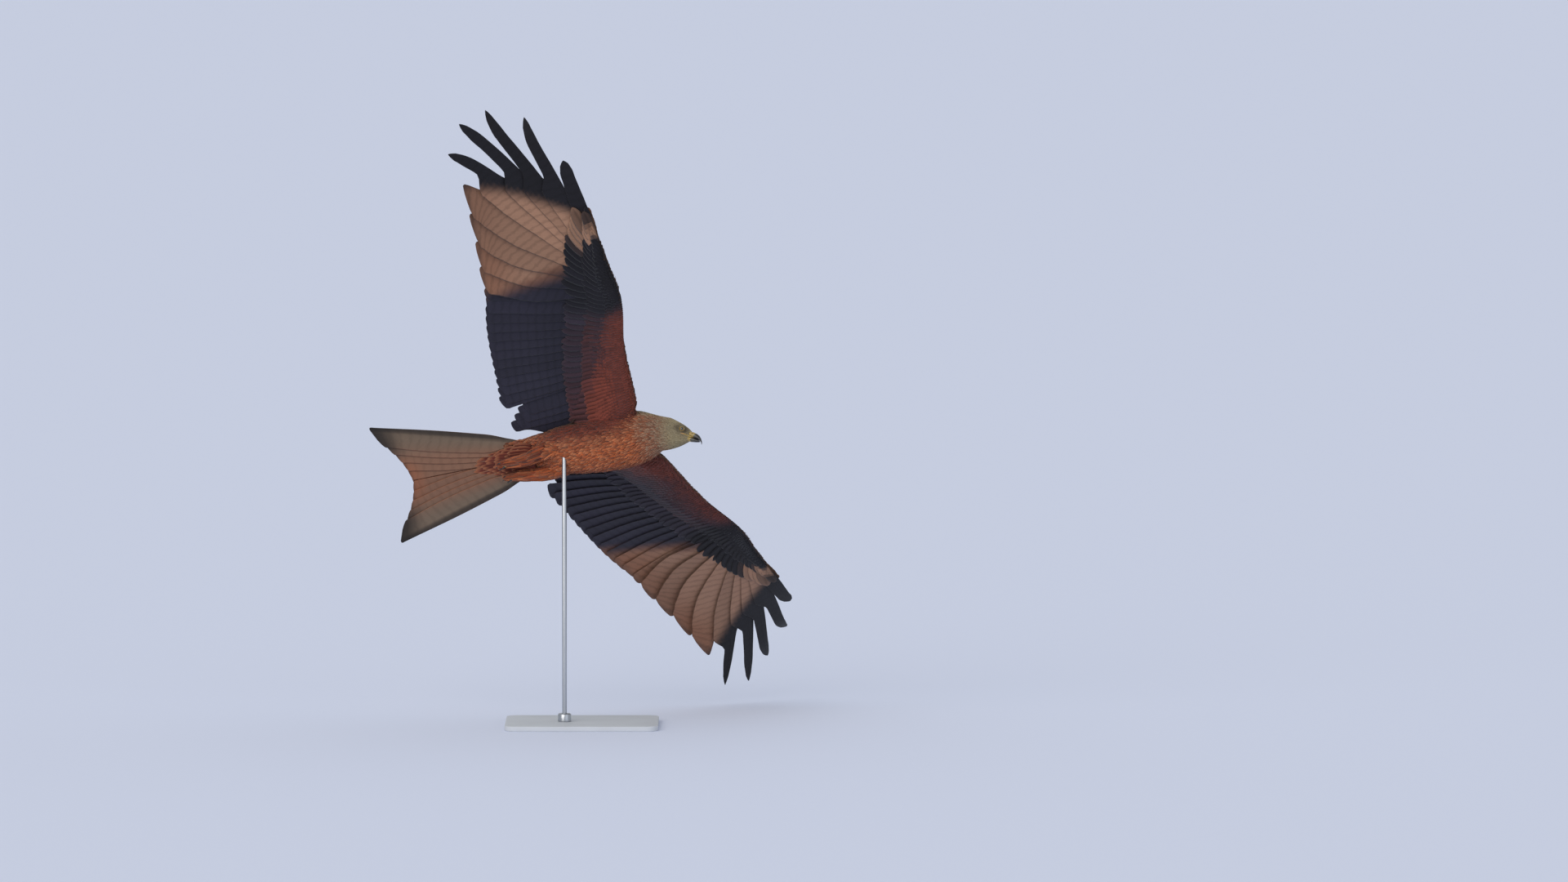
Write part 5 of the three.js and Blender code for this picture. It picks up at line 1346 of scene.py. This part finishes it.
def flight_piece(name, feathers, surface, slot, paint_with=flight_colours):
    """One joined mesh of long feathers, with upper and under colours and a strip of bake map for each face."""
    middle, edge, up, lead, trail, onward, slant = feathers
    count = len(middle)
    quill = QUILL_RIDGE * lerp(1, QUILL_THINS_TO, VANE_STATIONS)
    points, faces, on_top = vanes(middle, edge, up, lead, trail, VANE_COLUMNS, VANE_THICKNESS, quill, VANE_CUP)
    # The vane's end is drawn back on the trailing side, which makes the tip slant
    reach = web_reach(lead, trail, VANE_COLUMNS)
    points = points + spread(onward[:, :, None] * (slant[..., None] * reach)[..., None])
    draw = random.random(count)
    along, side = np.meshgrid(VANE_STATIONS, VANE_COLUMNS, indexing="ij")
    places = middle[:, :, None] + edge[:, :, None] * reach[..., None]
    upper, under = [paint_with(places, draw, along, under) for under in (False, True)]
    # The rim belongs to both faces and shows most from below
    upper[:, :, (0, -1)] = (upper + under)[:, :, (0, -1)] / 2
    colours = np.concatenate([upper.reshape(count, -1, 3), under[:, :, 1:-1].reshape(count, -1, 3)], 1)
    length = np.linalg.norm(np.diff(middle, axis=1), axis=2).sum(1)
    web = spread(feather_web(lead, trail, VANE_COLUMNS, length, along, draw))
    share = np.stack([(side + 1) / 2, along], -1)[None].repeat(count, 0)
    corners = spread(share).reshape(-1, 2)[faces]
    strip = np.arange(count)[:, None] * 2 + np.where(on_top, 0, 1)
    u = (strip[..., None] + 0.06 + 0.88 * corners[..., 0]) / (2 * count)
    bake = np.stack([u, 0.01 + 0.98 * corners[..., 1]], -1).reshape(-1, 2)
    plumage_piece(name, [(points, faces, colours, web, bake)], surface, slot)


flight_plumage = plumage_surface("flight_feather", 0.10, 0.62, bar_depth=0.22, bar_mm=17.0)
for side, word in ((1, "left"), (-1, "right")):
    outer = [primary(i) for i in range(len(PRIMARY_LENGTH))]
    inner = [secondary(i, side) for i in range(SECONDARY_COUNT)] + [tertial(i) for i in range(TERTIAL_COUNT)]
    flight_piece(f"primaries_{word}", gathered(outer, side), flight_plumage, "plumage_wing")
    flight_piece(f"secondaries_{word}", gathered(inner, side), flight_plumage, "plumage_wing")


# Wing coverts
# Tiers of smaller feathers that hide the roots of the flight feathers on both faces of the wing: one greater
# covert to each quill, a row of medians over those, and rows of lesser coverts up to the leading edge.
COVERT_GRID = np.array([0, 0.12, 0.3, 0.5, 0.7, 0.84, 0.94, 1.0]), np.array([-1, -0.7, -0.35, 0, 0.4, 1.0])
SMALL_GRID = np.array([0, 0.25, 0.55, 0.82, 1.0]), np.array([-1, -0.45, 0.0, 0.45, 1.0])
COVERT_SOLID = (0.34, 0.14, 0.05)
LESSER_ROWS = 9
COVERT_SHARE = curve_through([(0, 0.3), (0.15, 0.75), (0.35, 1), (0.7, 0.98), (0.88, 0.72), (0.97, 0.36), (1, 0.12)])
CARPAL_BLACK = colour_of(24, 23, 30)
COVERT_DARK, COVERT_RUFOUS, COVERT_MAROON = colour_of(42, 38, 49), colour_of(113, 54, 41), colour_of(70, 40, 42)
UPPER_LESSER, UPPER_LESSER_EDGE, UPPER_MEDIAN, UPPER_GREATER = (
    colour_of(74, 52, 40), colour_of(150, 100, 66), colour_of(158, 122, 88), colour_of(52, 44, 40))
# The line of quill roots in plan, and the way that feathers point there as degrees out from straight back
ROOT_LINE_X = curve_through([(30, 50), (56, 53), (82, 57), (142, 68), (165, 76), (240, 112), (312, 148), (325, 151),
                             (420, 174), (470, 180), (520, 181)])
LIE_DEG = curve_through([(30, -3), (60, -6), (142, -11), (165, -9.5), (240, 2), (312, 16), (330, 21), (360, 42),
                         (390, 58), (420, 74), (470, 84), (520, 86)])


def flesh_half(x, y):
    """Half thickness of the fleshy wing at a place in plan, or a thin web behind it."""
    chord, thickness = [np.interp(y, ARM_ROWS[:, 0], ARM_ROWS[:, column]) for column in (1, 2)]
    share = (leading_x(y) - LEADING_INSET - x) / (chord - LEADING_INSET)
    return np.maximum(arm_half(thickness, np.clip(share, 0, 1)), 0.8) * ramp(share, -0.15, -0.05)


def covert_tier(tier, starts_y, ahead, lengths, widths, rises, tilt, face, side, grid):
    """A tier of coverts, each starting a little ahead of the quill line: above (1) or below (-1) the wing."""
    direction = fanned(LIE_DEG(starts_y))
    root = np.stack([ROOT_LINE_X(starts_y), starts_y], -1) - direction * ahead[:, None]
    line = root[:, None] + direction[:, None] * (lengths[:, None] * grid[0])[..., None]
    x, y = line[..., 0], line[..., 1]
    _, across, up = wing_frames(x, y, *[np.broadcast_to(direction[:, i, None], x.shape) for i in (0, 1)])
    height = face * (flesh_half(x, y) + lerp(*rises, smooth(grid[0] / 0.5)))
    middle = np.stack([x, y, wing_height(x, y)], -1) + up * height[..., None]
    ways = [sided(way, side) for way in (middle, across * math.cos(tilt) + up * math.sin(tilt), up)]
    webs = [np.broadcast_to(width, starts_y.shape)[:, None] * COVERT_SHARE(grid[0]) for width in widths]
    return tier, (*ways, *webs), root, grid


def under_covert_colour(x, y, tier, chance=0.5):
    """Underwing markings by place in plan: rufous from the body to the inner front, a black patch at the wrist. On the
    left wing the rufous is narrower and weaker, as painted shade.
    """
    far, right = np.abs(y), np.asarray(y) < 0
    front = leading_x(far) - x + 22 * (chance - 0.5)
    # The left wing's rufous reaches less far and is weaker: painted shade on the wing that lies in shade, not a
    # difference in the plumage.
    reach = np.where(right, 56 + 96 * ramp(far, 230, 40), 26 + 96 * ramp(far, 150, 40))
    rufous = ramp(reach - front, -18, 42) * ramp(far - 20 * (chance - 0.5), 326, 256) * np.where(right, 1, 0.7)
    maroon = ramp(reach - front, -81, -11) * ramp(far, 330, 240)
    if tier == "greater":
        rufous, maroon = 0.3 * rufous, 0.7 * maroon
    black = ramp(far, 278, 312) * ramp(far, 462, 446) * ramp(x, 75, 93)
    window = ramp(far - window_start(x, y) + 24 * (chance - 0.5), -14, 16) * (1 - black)
    tone = lerp(COVERT_DARK, COVERT_MAROON, (0.85 * maroon)[..., None])
    tone = lerp(tone, COVERT_RUFOUS, rufous[..., None])
    tone = lerp(tone, WINDOW, window[..., None])
    tone = lerp(tone, CARPAL_BLACK, black[..., None])
    return lerp(tone, FINGER_BLACK, finger_line(x, far)[..., None])


def upper_covert_colour(x, y, tier, chance=0.5):
    """Upperwing markings: a pale diagonal over the median coverts, brown in front, blackish behind."""
    lesser = UPPER_LESSER * (0.85 + 0.3 * np.broadcast_to(chance, x.shape))[:, None]
    median = lerp(UPPER_MEDIAN, UPPER_GREATER, ramp(np.abs(y), 300, 360)[..., None])
    greater = UPPER_GREATER * np.ones((len(x), 3))
    return {"lesser": lesser, "median": median, "greater": greater}[tier]


def covert_colours(base, edge_tone, draw, along, side_of, rim_strength):
    """Colours of coverts on their grid: darker along the shaft, with a rim of the edge tone."""
    tone = base[:, None, None] * (0.78 + 0.44 * draw)[:, None, None, None]
    shaft = np.exp(-(side_of / 0.16) ** 2) * smooth(along / 0.3)
    rim = np.maximum(ramp(np.abs(side_of), 0.6, 1), ramp(along, 0.86, 1)) * smooth(along / 0.4)
    tone = tone * (1 - 0.35 * shaft)[None, ..., None]
    return lerp(tone, edge_tone[:, None, None], rim[None, ..., None] * rim_strength)


def covert_piece(name, tiers, face):
    """All tiers of one face of one wing as one mesh."""
    batches = []
    for tier, shape, root, grid in tiers:
        draw = random.random(len(root))
        centre = shape[0][:, len(grid[0]) // 2]
        colour_at = upper_covert_colour if face > 0 else under_covert_colour
        base = colour_at(centre[:, 0], centre[:, 1], tier, random.random(len(root)))
        edge_tone = (UPPER_LESSER_EDGE if face > 0 else base * 1.5) * np.ones((len(root), 3))
        rim_strength = 0.5 if face > 0 else 0.35
        colours = covert_colours(base, edge_tone, draw, *np.meshgrid(*grid, indexing="ij"), rim_strength)
        place = np.stack([(root[:, 1] - 30) / 500, (root[:, 0] + 20) / 240], -1) * 0.96 + 0.02
        batches.append(feather_batch(shape, grid, COVERT_SOLID, span(shape[0]), colours, draw, place))
    plumage_piece(name, batches, covert_plumage, "plumage_wing")


def varied(values, share):
    return values * random.uniform(1 - share, 1 + share, len(values))


def wing_tiers(side, face):
    """The greater coverts, one to each quill, the medians over them, and the lesser ones up to the edge."""
    tilt = math.radians(4.5 if face < 0 else 6)
    quills = np.concatenate([np.linspace(52, 142, 8), np.linspace(158, 312, 16), np.linspace(322, 428, 13)])
    out = ramp(quills, 325, 445)
    tiers = [covert_tier("greater", quills, lerp(-4.0, -20.0, out), varied(lerp(78.0, 74.0, out), 0.05),
                         (11.0, lerp(15.0, 13.0, out)), (1.0, 3.4), tilt, face, side, COVERT_GRID)]
    places = np.linspace(50, 460, 48)
    out = ramp(places, 325, 445)
    tiers.append(covert_tier("median", places, lerp(16.0, -4.0, out), varied(lerp(56.0, 46.0, out), 0.07),
                             (8.5, 10.0), (0.8, 4.6), tilt, face, side, COVERT_GRID))
    for row in range(LESSER_ROWS):
        forward = row / (LESSER_ROWS - 1)
        step = lerp(8.2, 5.0, forward)
        places = np.arange(56 + (row % 2) * step / 2, 492 - row * 3, step)
        out = ramp(places, 300, 440)
        ahead = lerp(0.28, 0.985, forward) * (leading_x(places) - ROOT_LINE_X(places))
        lengths = varied(lerp(38.0, 15.0, forward) * lerp(1.0, 0.62, out), 0.1)
        width = lerp(6.8, 3.6, forward) * lerp(1.0, 0.8, out)
        rises = (-0.3, lerp(4.2, 1.6, forward))
        tiers.append(covert_tier("lesser", places, ahead, lengths, (width, width), rises, tilt * 0.6, face, side,
                                 SMALL_GRID))
    return tiers


covert_plumage = plumage_surface("covert_feather", 0.13, 0.74)
for side, word in ((1, "left"), (-1, "right")):
    for face, face_word in ((1, "upper"), (-1, "under")):
        covert_piece(f"coverts_{face_word}_{word}", wing_tiers(side, face), face)


# Edge of the wing
# The smallest coverts fold round the leading edge of the wing from one face to the other. They grow on the skin
# itself and point outward and back, and carry the markings of the face that they lie on.
EDGE_CANDIDATES, EDGE_CROWD = 120000, 0.11
EDGE_FROM_Y, EDGE_TO_Y = 50, 470


def wing_edge_unwrap(roots, normals):
    over = normals[:, 2] > 0
    u = (np.abs(roots[:, 1]) - 40) / 480 * 0.48 + np.where(over, 0.51, 0.01)
    front = leading_x(np.abs(roots[:, 1])) - roots[:, 0]
    return np.stack([u, 0.02 + 0.9 * np.clip(front / 30, 0, 1)], -1)


def wing_edge_colours(roots, draw, along, side):
    """The markings of the face that each feather lies on, blended round the edge itself."""
    plan = roots[:, 0], roots[:, 1]
    above = ramp(roots[:, 2] - wing_height(roots[:, 0], np.abs(roots[:, 1])), -2, 2)[:, None]
    chance = random.random(len(roots))
    base = lerp(under_covert_colour(*plan, "lesser", chance), upper_covert_colour(*plan, "lesser", chance), above)
    pale = lerp(base * 1.5, UPPER_LESSER_EDGE * np.ones_like(base), above)
    return streaked(base, base * 0.6, pale, draw, along, side, np.full(len(roots), 0.5), 0.5 * chance)


edge_places, edge_normals = skin_candidates(EDGE_CANDIDATES)
out = np.abs(edge_places[:, 1])
depth = lerp(56, 20, ramp(out, 70, 200))
by_edge = (out > EDGE_FROM_Y) & (out < EDGE_TO_Y) & (leading_x(out) - edge_places[:, 0] < depth)
edge_places, edge_normals = edge_places[by_edge], edge_normals[by_edge]
lengths = lerp(16.0, 8.5, ramp(np.abs(edge_places[:, 1]), 80, 360))
widths = 0.42 * lengths
kept = sown(edge_places, np.sqrt(EDGE_CROWD * lengths * widths))
edge_roots, edge_normals = edge_places[kept], edge_normals[kept]
at_front = ramp(edge_normals[:, 0], 0.15, 0.55)
lean = np.radians(lerp(LIE_DEG(np.abs(edge_roots[:, 1])) + 24, 84, at_front))
edge_ways = np.stack([-np.cos(lean), np.sign(edge_roots[:, 1]) * np.sin(lean), 0 * lean], 1)
edge_ways = normalised(edge_ways - edge_normals * np.einsum("ij,ij->i", edge_ways, edge_normals)[:, None])
lengths = lengths[kept] * lerp(1.0, 0.8, at_front) * random.uniform(0.9, 1.1, len(kept))
edge_leaves = (edge_roots, edge_normals, edge_ways, lengths, widths[kept], random.uniform(1.7, 2.5, len(kept)))
for side, word in ((1, "left"), (-1, "right")):
    leaf_coat(f"wing_edge_{word}", edge_roots[:, 1] * side > 0, edge_leaves, wing_edge_colours, "plumage_wing",
              unwrap=wing_edge_unwrap)


# Colours of the skin
# Where feathers part, the skin shows the same markings and painted shade as the coat that grows on it: the trunk's
# along the body and the wings' by their place, each face of the wing with its own.
wing_share = ramp(np.abs(skin_points[:, 1]), 60, 74)[:, None]
plan = skin_points[:, 0], skin_points[:, 1]
over_wing = (skin_points[:, 2] > wing_height(plan[0], np.abs(plan[1])))[:, None]
wing_tone = np.where(over_wing, upper_covert_colour(*plan, "lesser"), under_covert_colour(*plan, "lesser"))
skin_tone = lerp(body_base(skin_points), wing_tone, wing_share)
paint(skin.data, skin_tone * 0.85, skin_points * (0, 1, 1))
skin.data.materials.append(plumage_surface("feathered_skin", 0.2, 0.8).material)


# Tail
# Twelve feathers in a shallow fork, spread as a flat fan and twisted against the body, as a kite steers. The
# outer pair is longest, and each lies a little over the next one out.
TAIL_PAIRS = 6
TAIL_ROOT_X, TAIL_ROOT_SPREAD = -142, 33
TAIL_FORK_X, TAIL_CORNER_X, TAIL_TIP_SPREAD = -385, -441, 109
TAIL_ROOT_TILT = math.radians(14)
MIDLINE_LAP = 0.6
TAIL_LEAD, TAIL_TRAIL = 11, 27
TAIL_SHARE = curve_through([(0, 0.16), (0.1, 0.5), (0.28, 1), (0.97, 1), (0.99, 0.88), (1, 0.5)])
TAIL_BUFF, TAIL_GREY, TAIL_DARK = colour_of(126, 92, 74), colour_of(110, 94, 80), colour_of(34, 31, 31)
TAIL_GLOW = colour_of(150, 86, 56)
TAIL_UPPER, TAIL_UPPER_EDGE = colour_of(176, 98, 58), colour_of(96, 60, 42)


def tail_feather(pair, half):
    t = pair / (TAIL_PAIRS - 1)
    root = np.array((TAIL_ROOT_X, lerp(3.5, TAIL_ROOT_SPREAD, t)))
    fork = 0.25 * t + 0.75 * t * t
    tip = np.array((lerp(TAIL_FORK_X, TAIL_CORNER_X, fork), lerp(9, TAIL_TIP_SPREAD, t)))
    run = tip - root
    dx, dy = run / np.linalg.norm(run)
    s = VANE_STATIONS
    x, y = root[:, None] + run[:, None] * s
    raised = 1.6 if pair == 0 and half > 0 else 0
    middle = np.stack([x, y, raised * smooth(s / 0.2) - 3 * s * s], -1)
    tilt = lerp(TAIL_ROOT_TILT, VANE_TILT, smooth(s / 0.5))
    edge = np.stack([dy * np.cos(tilt), -dx * np.cos(tilt), np.sin(tilt)], -1)
    up = np.broadcast_to((0.0, 0.0, 1.0), middle.shape)
    along = np.broadcast_to((dx, dy, 0.0), middle.shape)
    reach = -MIDLINE_LAP if pair == 0 else MIDLINE_LAP
    lead = TAIL_LEAD * TAIL_SHARE(s)
    trail = np.minimum(TAIL_TRAIL * TAIL_SHARE(s), np.maximum(y - reach, 1))
    slant = lerp(0.1, 0.85, t) * ramp(s, 0.7, 1)
    turned = lambda v: turn_about_x(sided(v, half), TAIL_TWIST)
    return tail_plane(sided(middle, half)), turned(edge), turned(up), lead, trail, turned(along), slant


def tail_colours(points, draw, along, under):
    """Buff below with greyer sides and dark outer edges and corners, rufous above and by the fork."""
    flat = turn_about_x(points, -TAIL_TWIST)
    across = np.abs(flat[..., 1])
    outer = np.interp(-flat[..., 0], (142, 447), (40, 122))
    corner = ramp(along, 0.78, 0.98) * ramp(across, 38, 88)
    rim = ramp(across - outer, -12, -3)
    if under:
        tone = lerp(TAIL_BUFF, TAIL_GREY, ramp(across / outer, 0.35, 0.85)[..., None])
        ends = np.maximum(ramp(along, 0.8, 1), ramp(along, 0.35, 0.05))
        glow = ramp(across / outer, 0.55, 0.15) * ends
        tone = lerp(tone, TAIL_GLOW, (0.5 * glow)[..., None])
        tone = lerp(tone, TAIL_DARK, (0.88 * corner)[..., None])
        tone = lerp(tone, TAIL_DARK, (0.8 * rim)[..., None])
        tone = lerp(tone, TAIL_DARK, (0.4 * ramp(along, 0.965, 0.995))[..., None])
    else:
        tone = lerp(TAIL_UPPER, TAIL_UPPER_EDGE, ramp(across, 70, 110)[..., None])
        tone = lerp(tone, TAIL_DARK, corner[..., None])
    return tone * (0.93 + 0.14 * draw)[:, None, None, None]


tail_plumage = plumage_surface("tail_feather", 0.09, 0.64, bar_depth=0.12, bar_mm=21.0)
tail_sets = [tail_feather(pair, half) for half in (1, -1) for pair in range(TAIL_PAIRS)]
tail_batch = [np.stack(part) for part in zip(*tail_sets)]
flight_piece("tail_feathers", tail_batch, tail_plumage, "plumage_tail", tail_colours)


# Tail coverts
# Long soft feathers that lie over the root of the tail on both faces, in overlapping rows from side to side.
# Those below are a rufous wedge that reaches well down the tail.
# Each row's place, half width, length and layer
TAIL_COVERT_ROWS = ((-118, 26, 66, 1.6), (-131, 23, 78, 1.2), (-144, 20, 90, 0.6), (-155, 17, 100, 0.0))
TAIL_COVERTS_ACROSS, TAIL_COVERT_HALF, TAIL_COVERT_SOLID = 11, 6.2, (0.34, 0.16, 0.08)
TAIL_FLESH = ((-200, 2.2), (-190, 3.4), (-178, 5.6), (-160, 10.2), (-141, 15.5), (-110, 24))


def tail_covert_rows(face):
    """Middle lines of all the coverts of one face in the tail's plane, with each one's place along the rows."""
    stations = COVERT_GRID[0]
    roots, tips, layers = [], [], []
    for x, spread_y, length, layer in TAIL_COVERT_ROWS:
        for across in np.linspace(-1, 1, TAIL_COVERTS_ACROSS):
            reach = length * (1 - 0.38 * across ** 2) * random.uniform(0.93, 1.05)
            roots.append((x + random.uniform(-3, 3), spread_y * across))
            tips.append((roots[-1][0] - reach, spread_y * across * 1.12))
            layers.append(layer + 0.35 * abs(across))
    roots, tips, layers = np.array(roots), np.array(tips), np.array(layers)
    plan = roots[:, None] + (tips - roots)[:, None] * stations[:, None]
    flesh = np.interp(plan[..., 0], *np.array(TAIL_FLESH).T)
    side_drop = np.sqrt(np.clip(1 - (plan[..., 1] / 42) ** 2, 0.15, 1))
    height = np.maximum(flesh * side_drop, 2.6) + 0.5 + layers[:, None] + 1.6 * smooth(stations / 0.6)
    return np.concatenate([plan, (face * height)[..., None]], -1), roots


def tail_covert_piece(name, face):
    middle, roots = tail_covert_rows(face)
    onward = normalised(np.gradient(middle, axis=1))
    across = normalised(np.cross(onward, (0, 0, float(face))))
    ways = [turn_about_x(way, TAIL_TWIST) for way in (across, normalised(np.cross(across, onward)))]
    half = np.broadcast_to(TAIL_COVERT_HALF * COVERT_SHARE(COVERT_GRID[0]), middle.shape[:2])
    draw = random.random(len(roots))
    down_tail = ramp(-middle[:, -1, 0], 190, 260)[:, None]
    base = lerp(RUFOUS, TAIL_UPPER, down_tail) if face > 0 else lerp(UNDERTAIL_RUFOUS, BREAST_MAROON, down_tail)
    pale = RUFOUS_PALE * np.ones((len(roots), 3))
    colours = covert_colours(base, pale, draw, *np.meshgrid(*COVERT_GRID, indexing="ij"), 0.35)
    place = np.stack([(roots[:, 1] + 40) / 80, (roots[:, 0] + 170) / 70], -1) * 0.96 + 0.02
    shape = (tail_plane(middle), *ways, half, half)
    batch = feather_batch(shape, COVERT_GRID, TAIL_COVERT_SOLID, span(middle), colours, draw, place)
    plumage_piece(name, [batch], covert_plumage, "plumage_rufous")


tail_covert_piece("undertail_coverts", -1)
tail_covert_piece("uppertail_coverts", 1)


# Stand
# A powder-coated steel plate with eased edges, a turned collar with a grub screw, and one bright steel rod that
# ends in the belly, as under a mounted bird in a museum.
BASE_CORNER, BASE_BEVEL = 24 * MM, 1.5 * MM
CORNER_STEPS, BEVEL_STEPS = 13, 5
ROD_SIDES, COLLAR_SIDES, SCREW_SIDES = 48, 64, 24
CREASE = math.radians(35)
# How a turned piece is eased at its foot and its top, in mm: how far in, and how far from the end
ROD_EASED = ((0.8, 0), (0, 0.8)), ((0, 1.5), (0.6, 0.4), (1.5, 0))
COLLAR_EASED = ((0.6, 0), (0, 0.6)), ((0, 2.5), (0.8, 1), (2, 0.2), (2.8, 0))
COLLAR_GAP = 0.3 * MM
# The grub screw and its socket in mm: radius, and how far out from the collar's side
SCREW_ROWS = ((2.2, -3.3), (2.2, -0.7), (1.8, -0.3), (1.1, -0.3), (1.1, -1.5))
PLATE_GREY, STEEL_GREY = colour_of(200, 204, 210), colour_of(176, 180, 186)


def metal_surface(name, colour, roughness, metallic, grain, stretch):
    """Painted or brushed metal: a fine grain in colour, roughness and relief, drawn out along the piece."""
    surface = Surface(name, colour, roughness)
    place = surface.add("TexCoord").outputs["Object"]
    speckle = surface.noise(surface.add("Mapping", Vector=place, Scale=stretch).outputs[0], grain, 4.0)
    shade = surface.math("MULTIPLY_ADD", surface.noise(place, 14.0, 3.0), 0.16, 0.92)
    surface.tint(tuple(colour), shade)
    surface.relief(speckle, 0.2, 0.0002)
    surface.finish(Metallic=metallic, Roughness=surface.math("MULTIPLY_ADD", speckle, 0.2, roughness - 0.1))
    return surface


def stand_piece(name, parts, surface, slot, node):
    """One part of the stand from closed lofts in metres, with its creases kept sharp."""
    mesh, _ = merged_mesh(name, parts, np.asarray)
    mesh.set_sharp_from_angle(angle=CREASE)
    dressed(name, mesh, surface, slot, node)


def plate_outline(inset):
    """A rounded rectangle, drawn in by the inset."""
    low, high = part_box("stand_base")
    radius = BASE_CORNER - inset
    quarter = np.linspace(0, np.pi / 2, CORNER_STEPS)
    corners = [(high.x, high.y, 0), (low.x, high.y, 1), (low.x, low.y, 2), (high.x, low.y, 3)]
    outline = []
    for x, y, turn in corners:
        way = np.sign((x - rod_axis.x, y - rod_axis.y))
        centre = np.array((x, y)) - BASE_CORNER * way
        angle = quarter + turn * np.pi / 2
        outline.append(centre + radius * np.stack([np.cos(angle), np.sin(angle)], -1))
    return np.concatenate(outline)


def plate_rings():
    low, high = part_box("stand_base")
    bevel = np.linspace(0, np.pi / 2, BEVEL_STEPS)
    levels = [(BASE_BEVEL * (1 - math.sin(a)), low.z + BASE_BEVEL * (1 - math.cos(a))) for a in bevel]
    levels += [(BASE_BEVEL * (1 - math.cos(a)), high.z - BASE_BEVEL * (1 - math.sin(a))) for a in bevel]
    return [np.insert(plate_outline(inset), 2, z, axis=1) for inset, z in levels]


def turned(profile, sides, axis):
    """A closed lathe form from (radius, height) pairs about an upright axis."""
    angle = np.linspace(0, 2 * np.pi, sides, endpoint=False)
    circle = np.stack([np.cos(angle), np.sin(angle), 0 * angle], -1)
    return [np.array((axis.x, axis.y, z)) + circle * radius for radius, z in profile]


def eased(radius, low, high, foot, top):
    """The profile of a turned piece as (radius, height), from its foot to its top."""
    profile = [(radius - inward * MM, low + up * MM) for inward, up in foot]
    return profile + [(radius - inward * MM, high - down * MM) for inward, down in top]


def screw_rings(front, height):
    """The rings of the grub screw, which points forward from the collar's side."""
    angle = np.linspace(0, 2 * np.pi, SCREW_SIDES, endpoint=False)
    return [np.stack([rod_axis.x + radius * MM * np.cos(angle), np.full(SCREW_SIDES, front - out * MM),
                      height + radius * MM * np.sin(angle)], -1) for radius, out in SCREW_ROWS]


rod_radius = (rod_high.x - rod_low.x) / 2
rod_profile = eased(rod_radius, rod_low.z, rod_high.z, *ROD_EASED)
collar_low, collar_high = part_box("stand_collar")
collar_radius = (collar_high.x - collar_low.x) / 2
bore = rod_radius + COLLAR_GAP
collar_profile = [(bore, collar_low.z), *eased(collar_radius, collar_low.z, collar_high.z, *COLLAR_EASED),
                  (bore, collar_high.z)]
collar = round_loft(turned(collar_profile, COLLAR_SIDES, rod_axis))
screw = closed_loft(screw_rings(rod_axis.y - collar_radius, (collar_low.z + collar_high.z) / 2))
plate_coat = metal_surface("powder_coat", PLATE_GREY, 0.55, 0.0, 900.0, (1, 1, 1))
rod_steel = metal_surface("brushed_steel", STEEL_GREY, 0.34, 1.0, 500.0, (1, 1, 0.04))
collar_steel = metal_surface("turned_steel", STEEL_GREY, 0.3, 1.0, 700.0, (0.1, 0.1, 1))
rod = closed_loft(turned(rod_profile, ROD_SIDES, rod_axis))
stand_piece("stand_plate", [closed_loft(plate_rings())], plate_coat, "stand_plate", "stand_base")
stand_piece("stand_post", [rod], rod_steel, "stand_steel", "stand_rod")
stand_piece("stand_ring", [collar, screw], collar_steel, "stand_steel", "stand_collar")
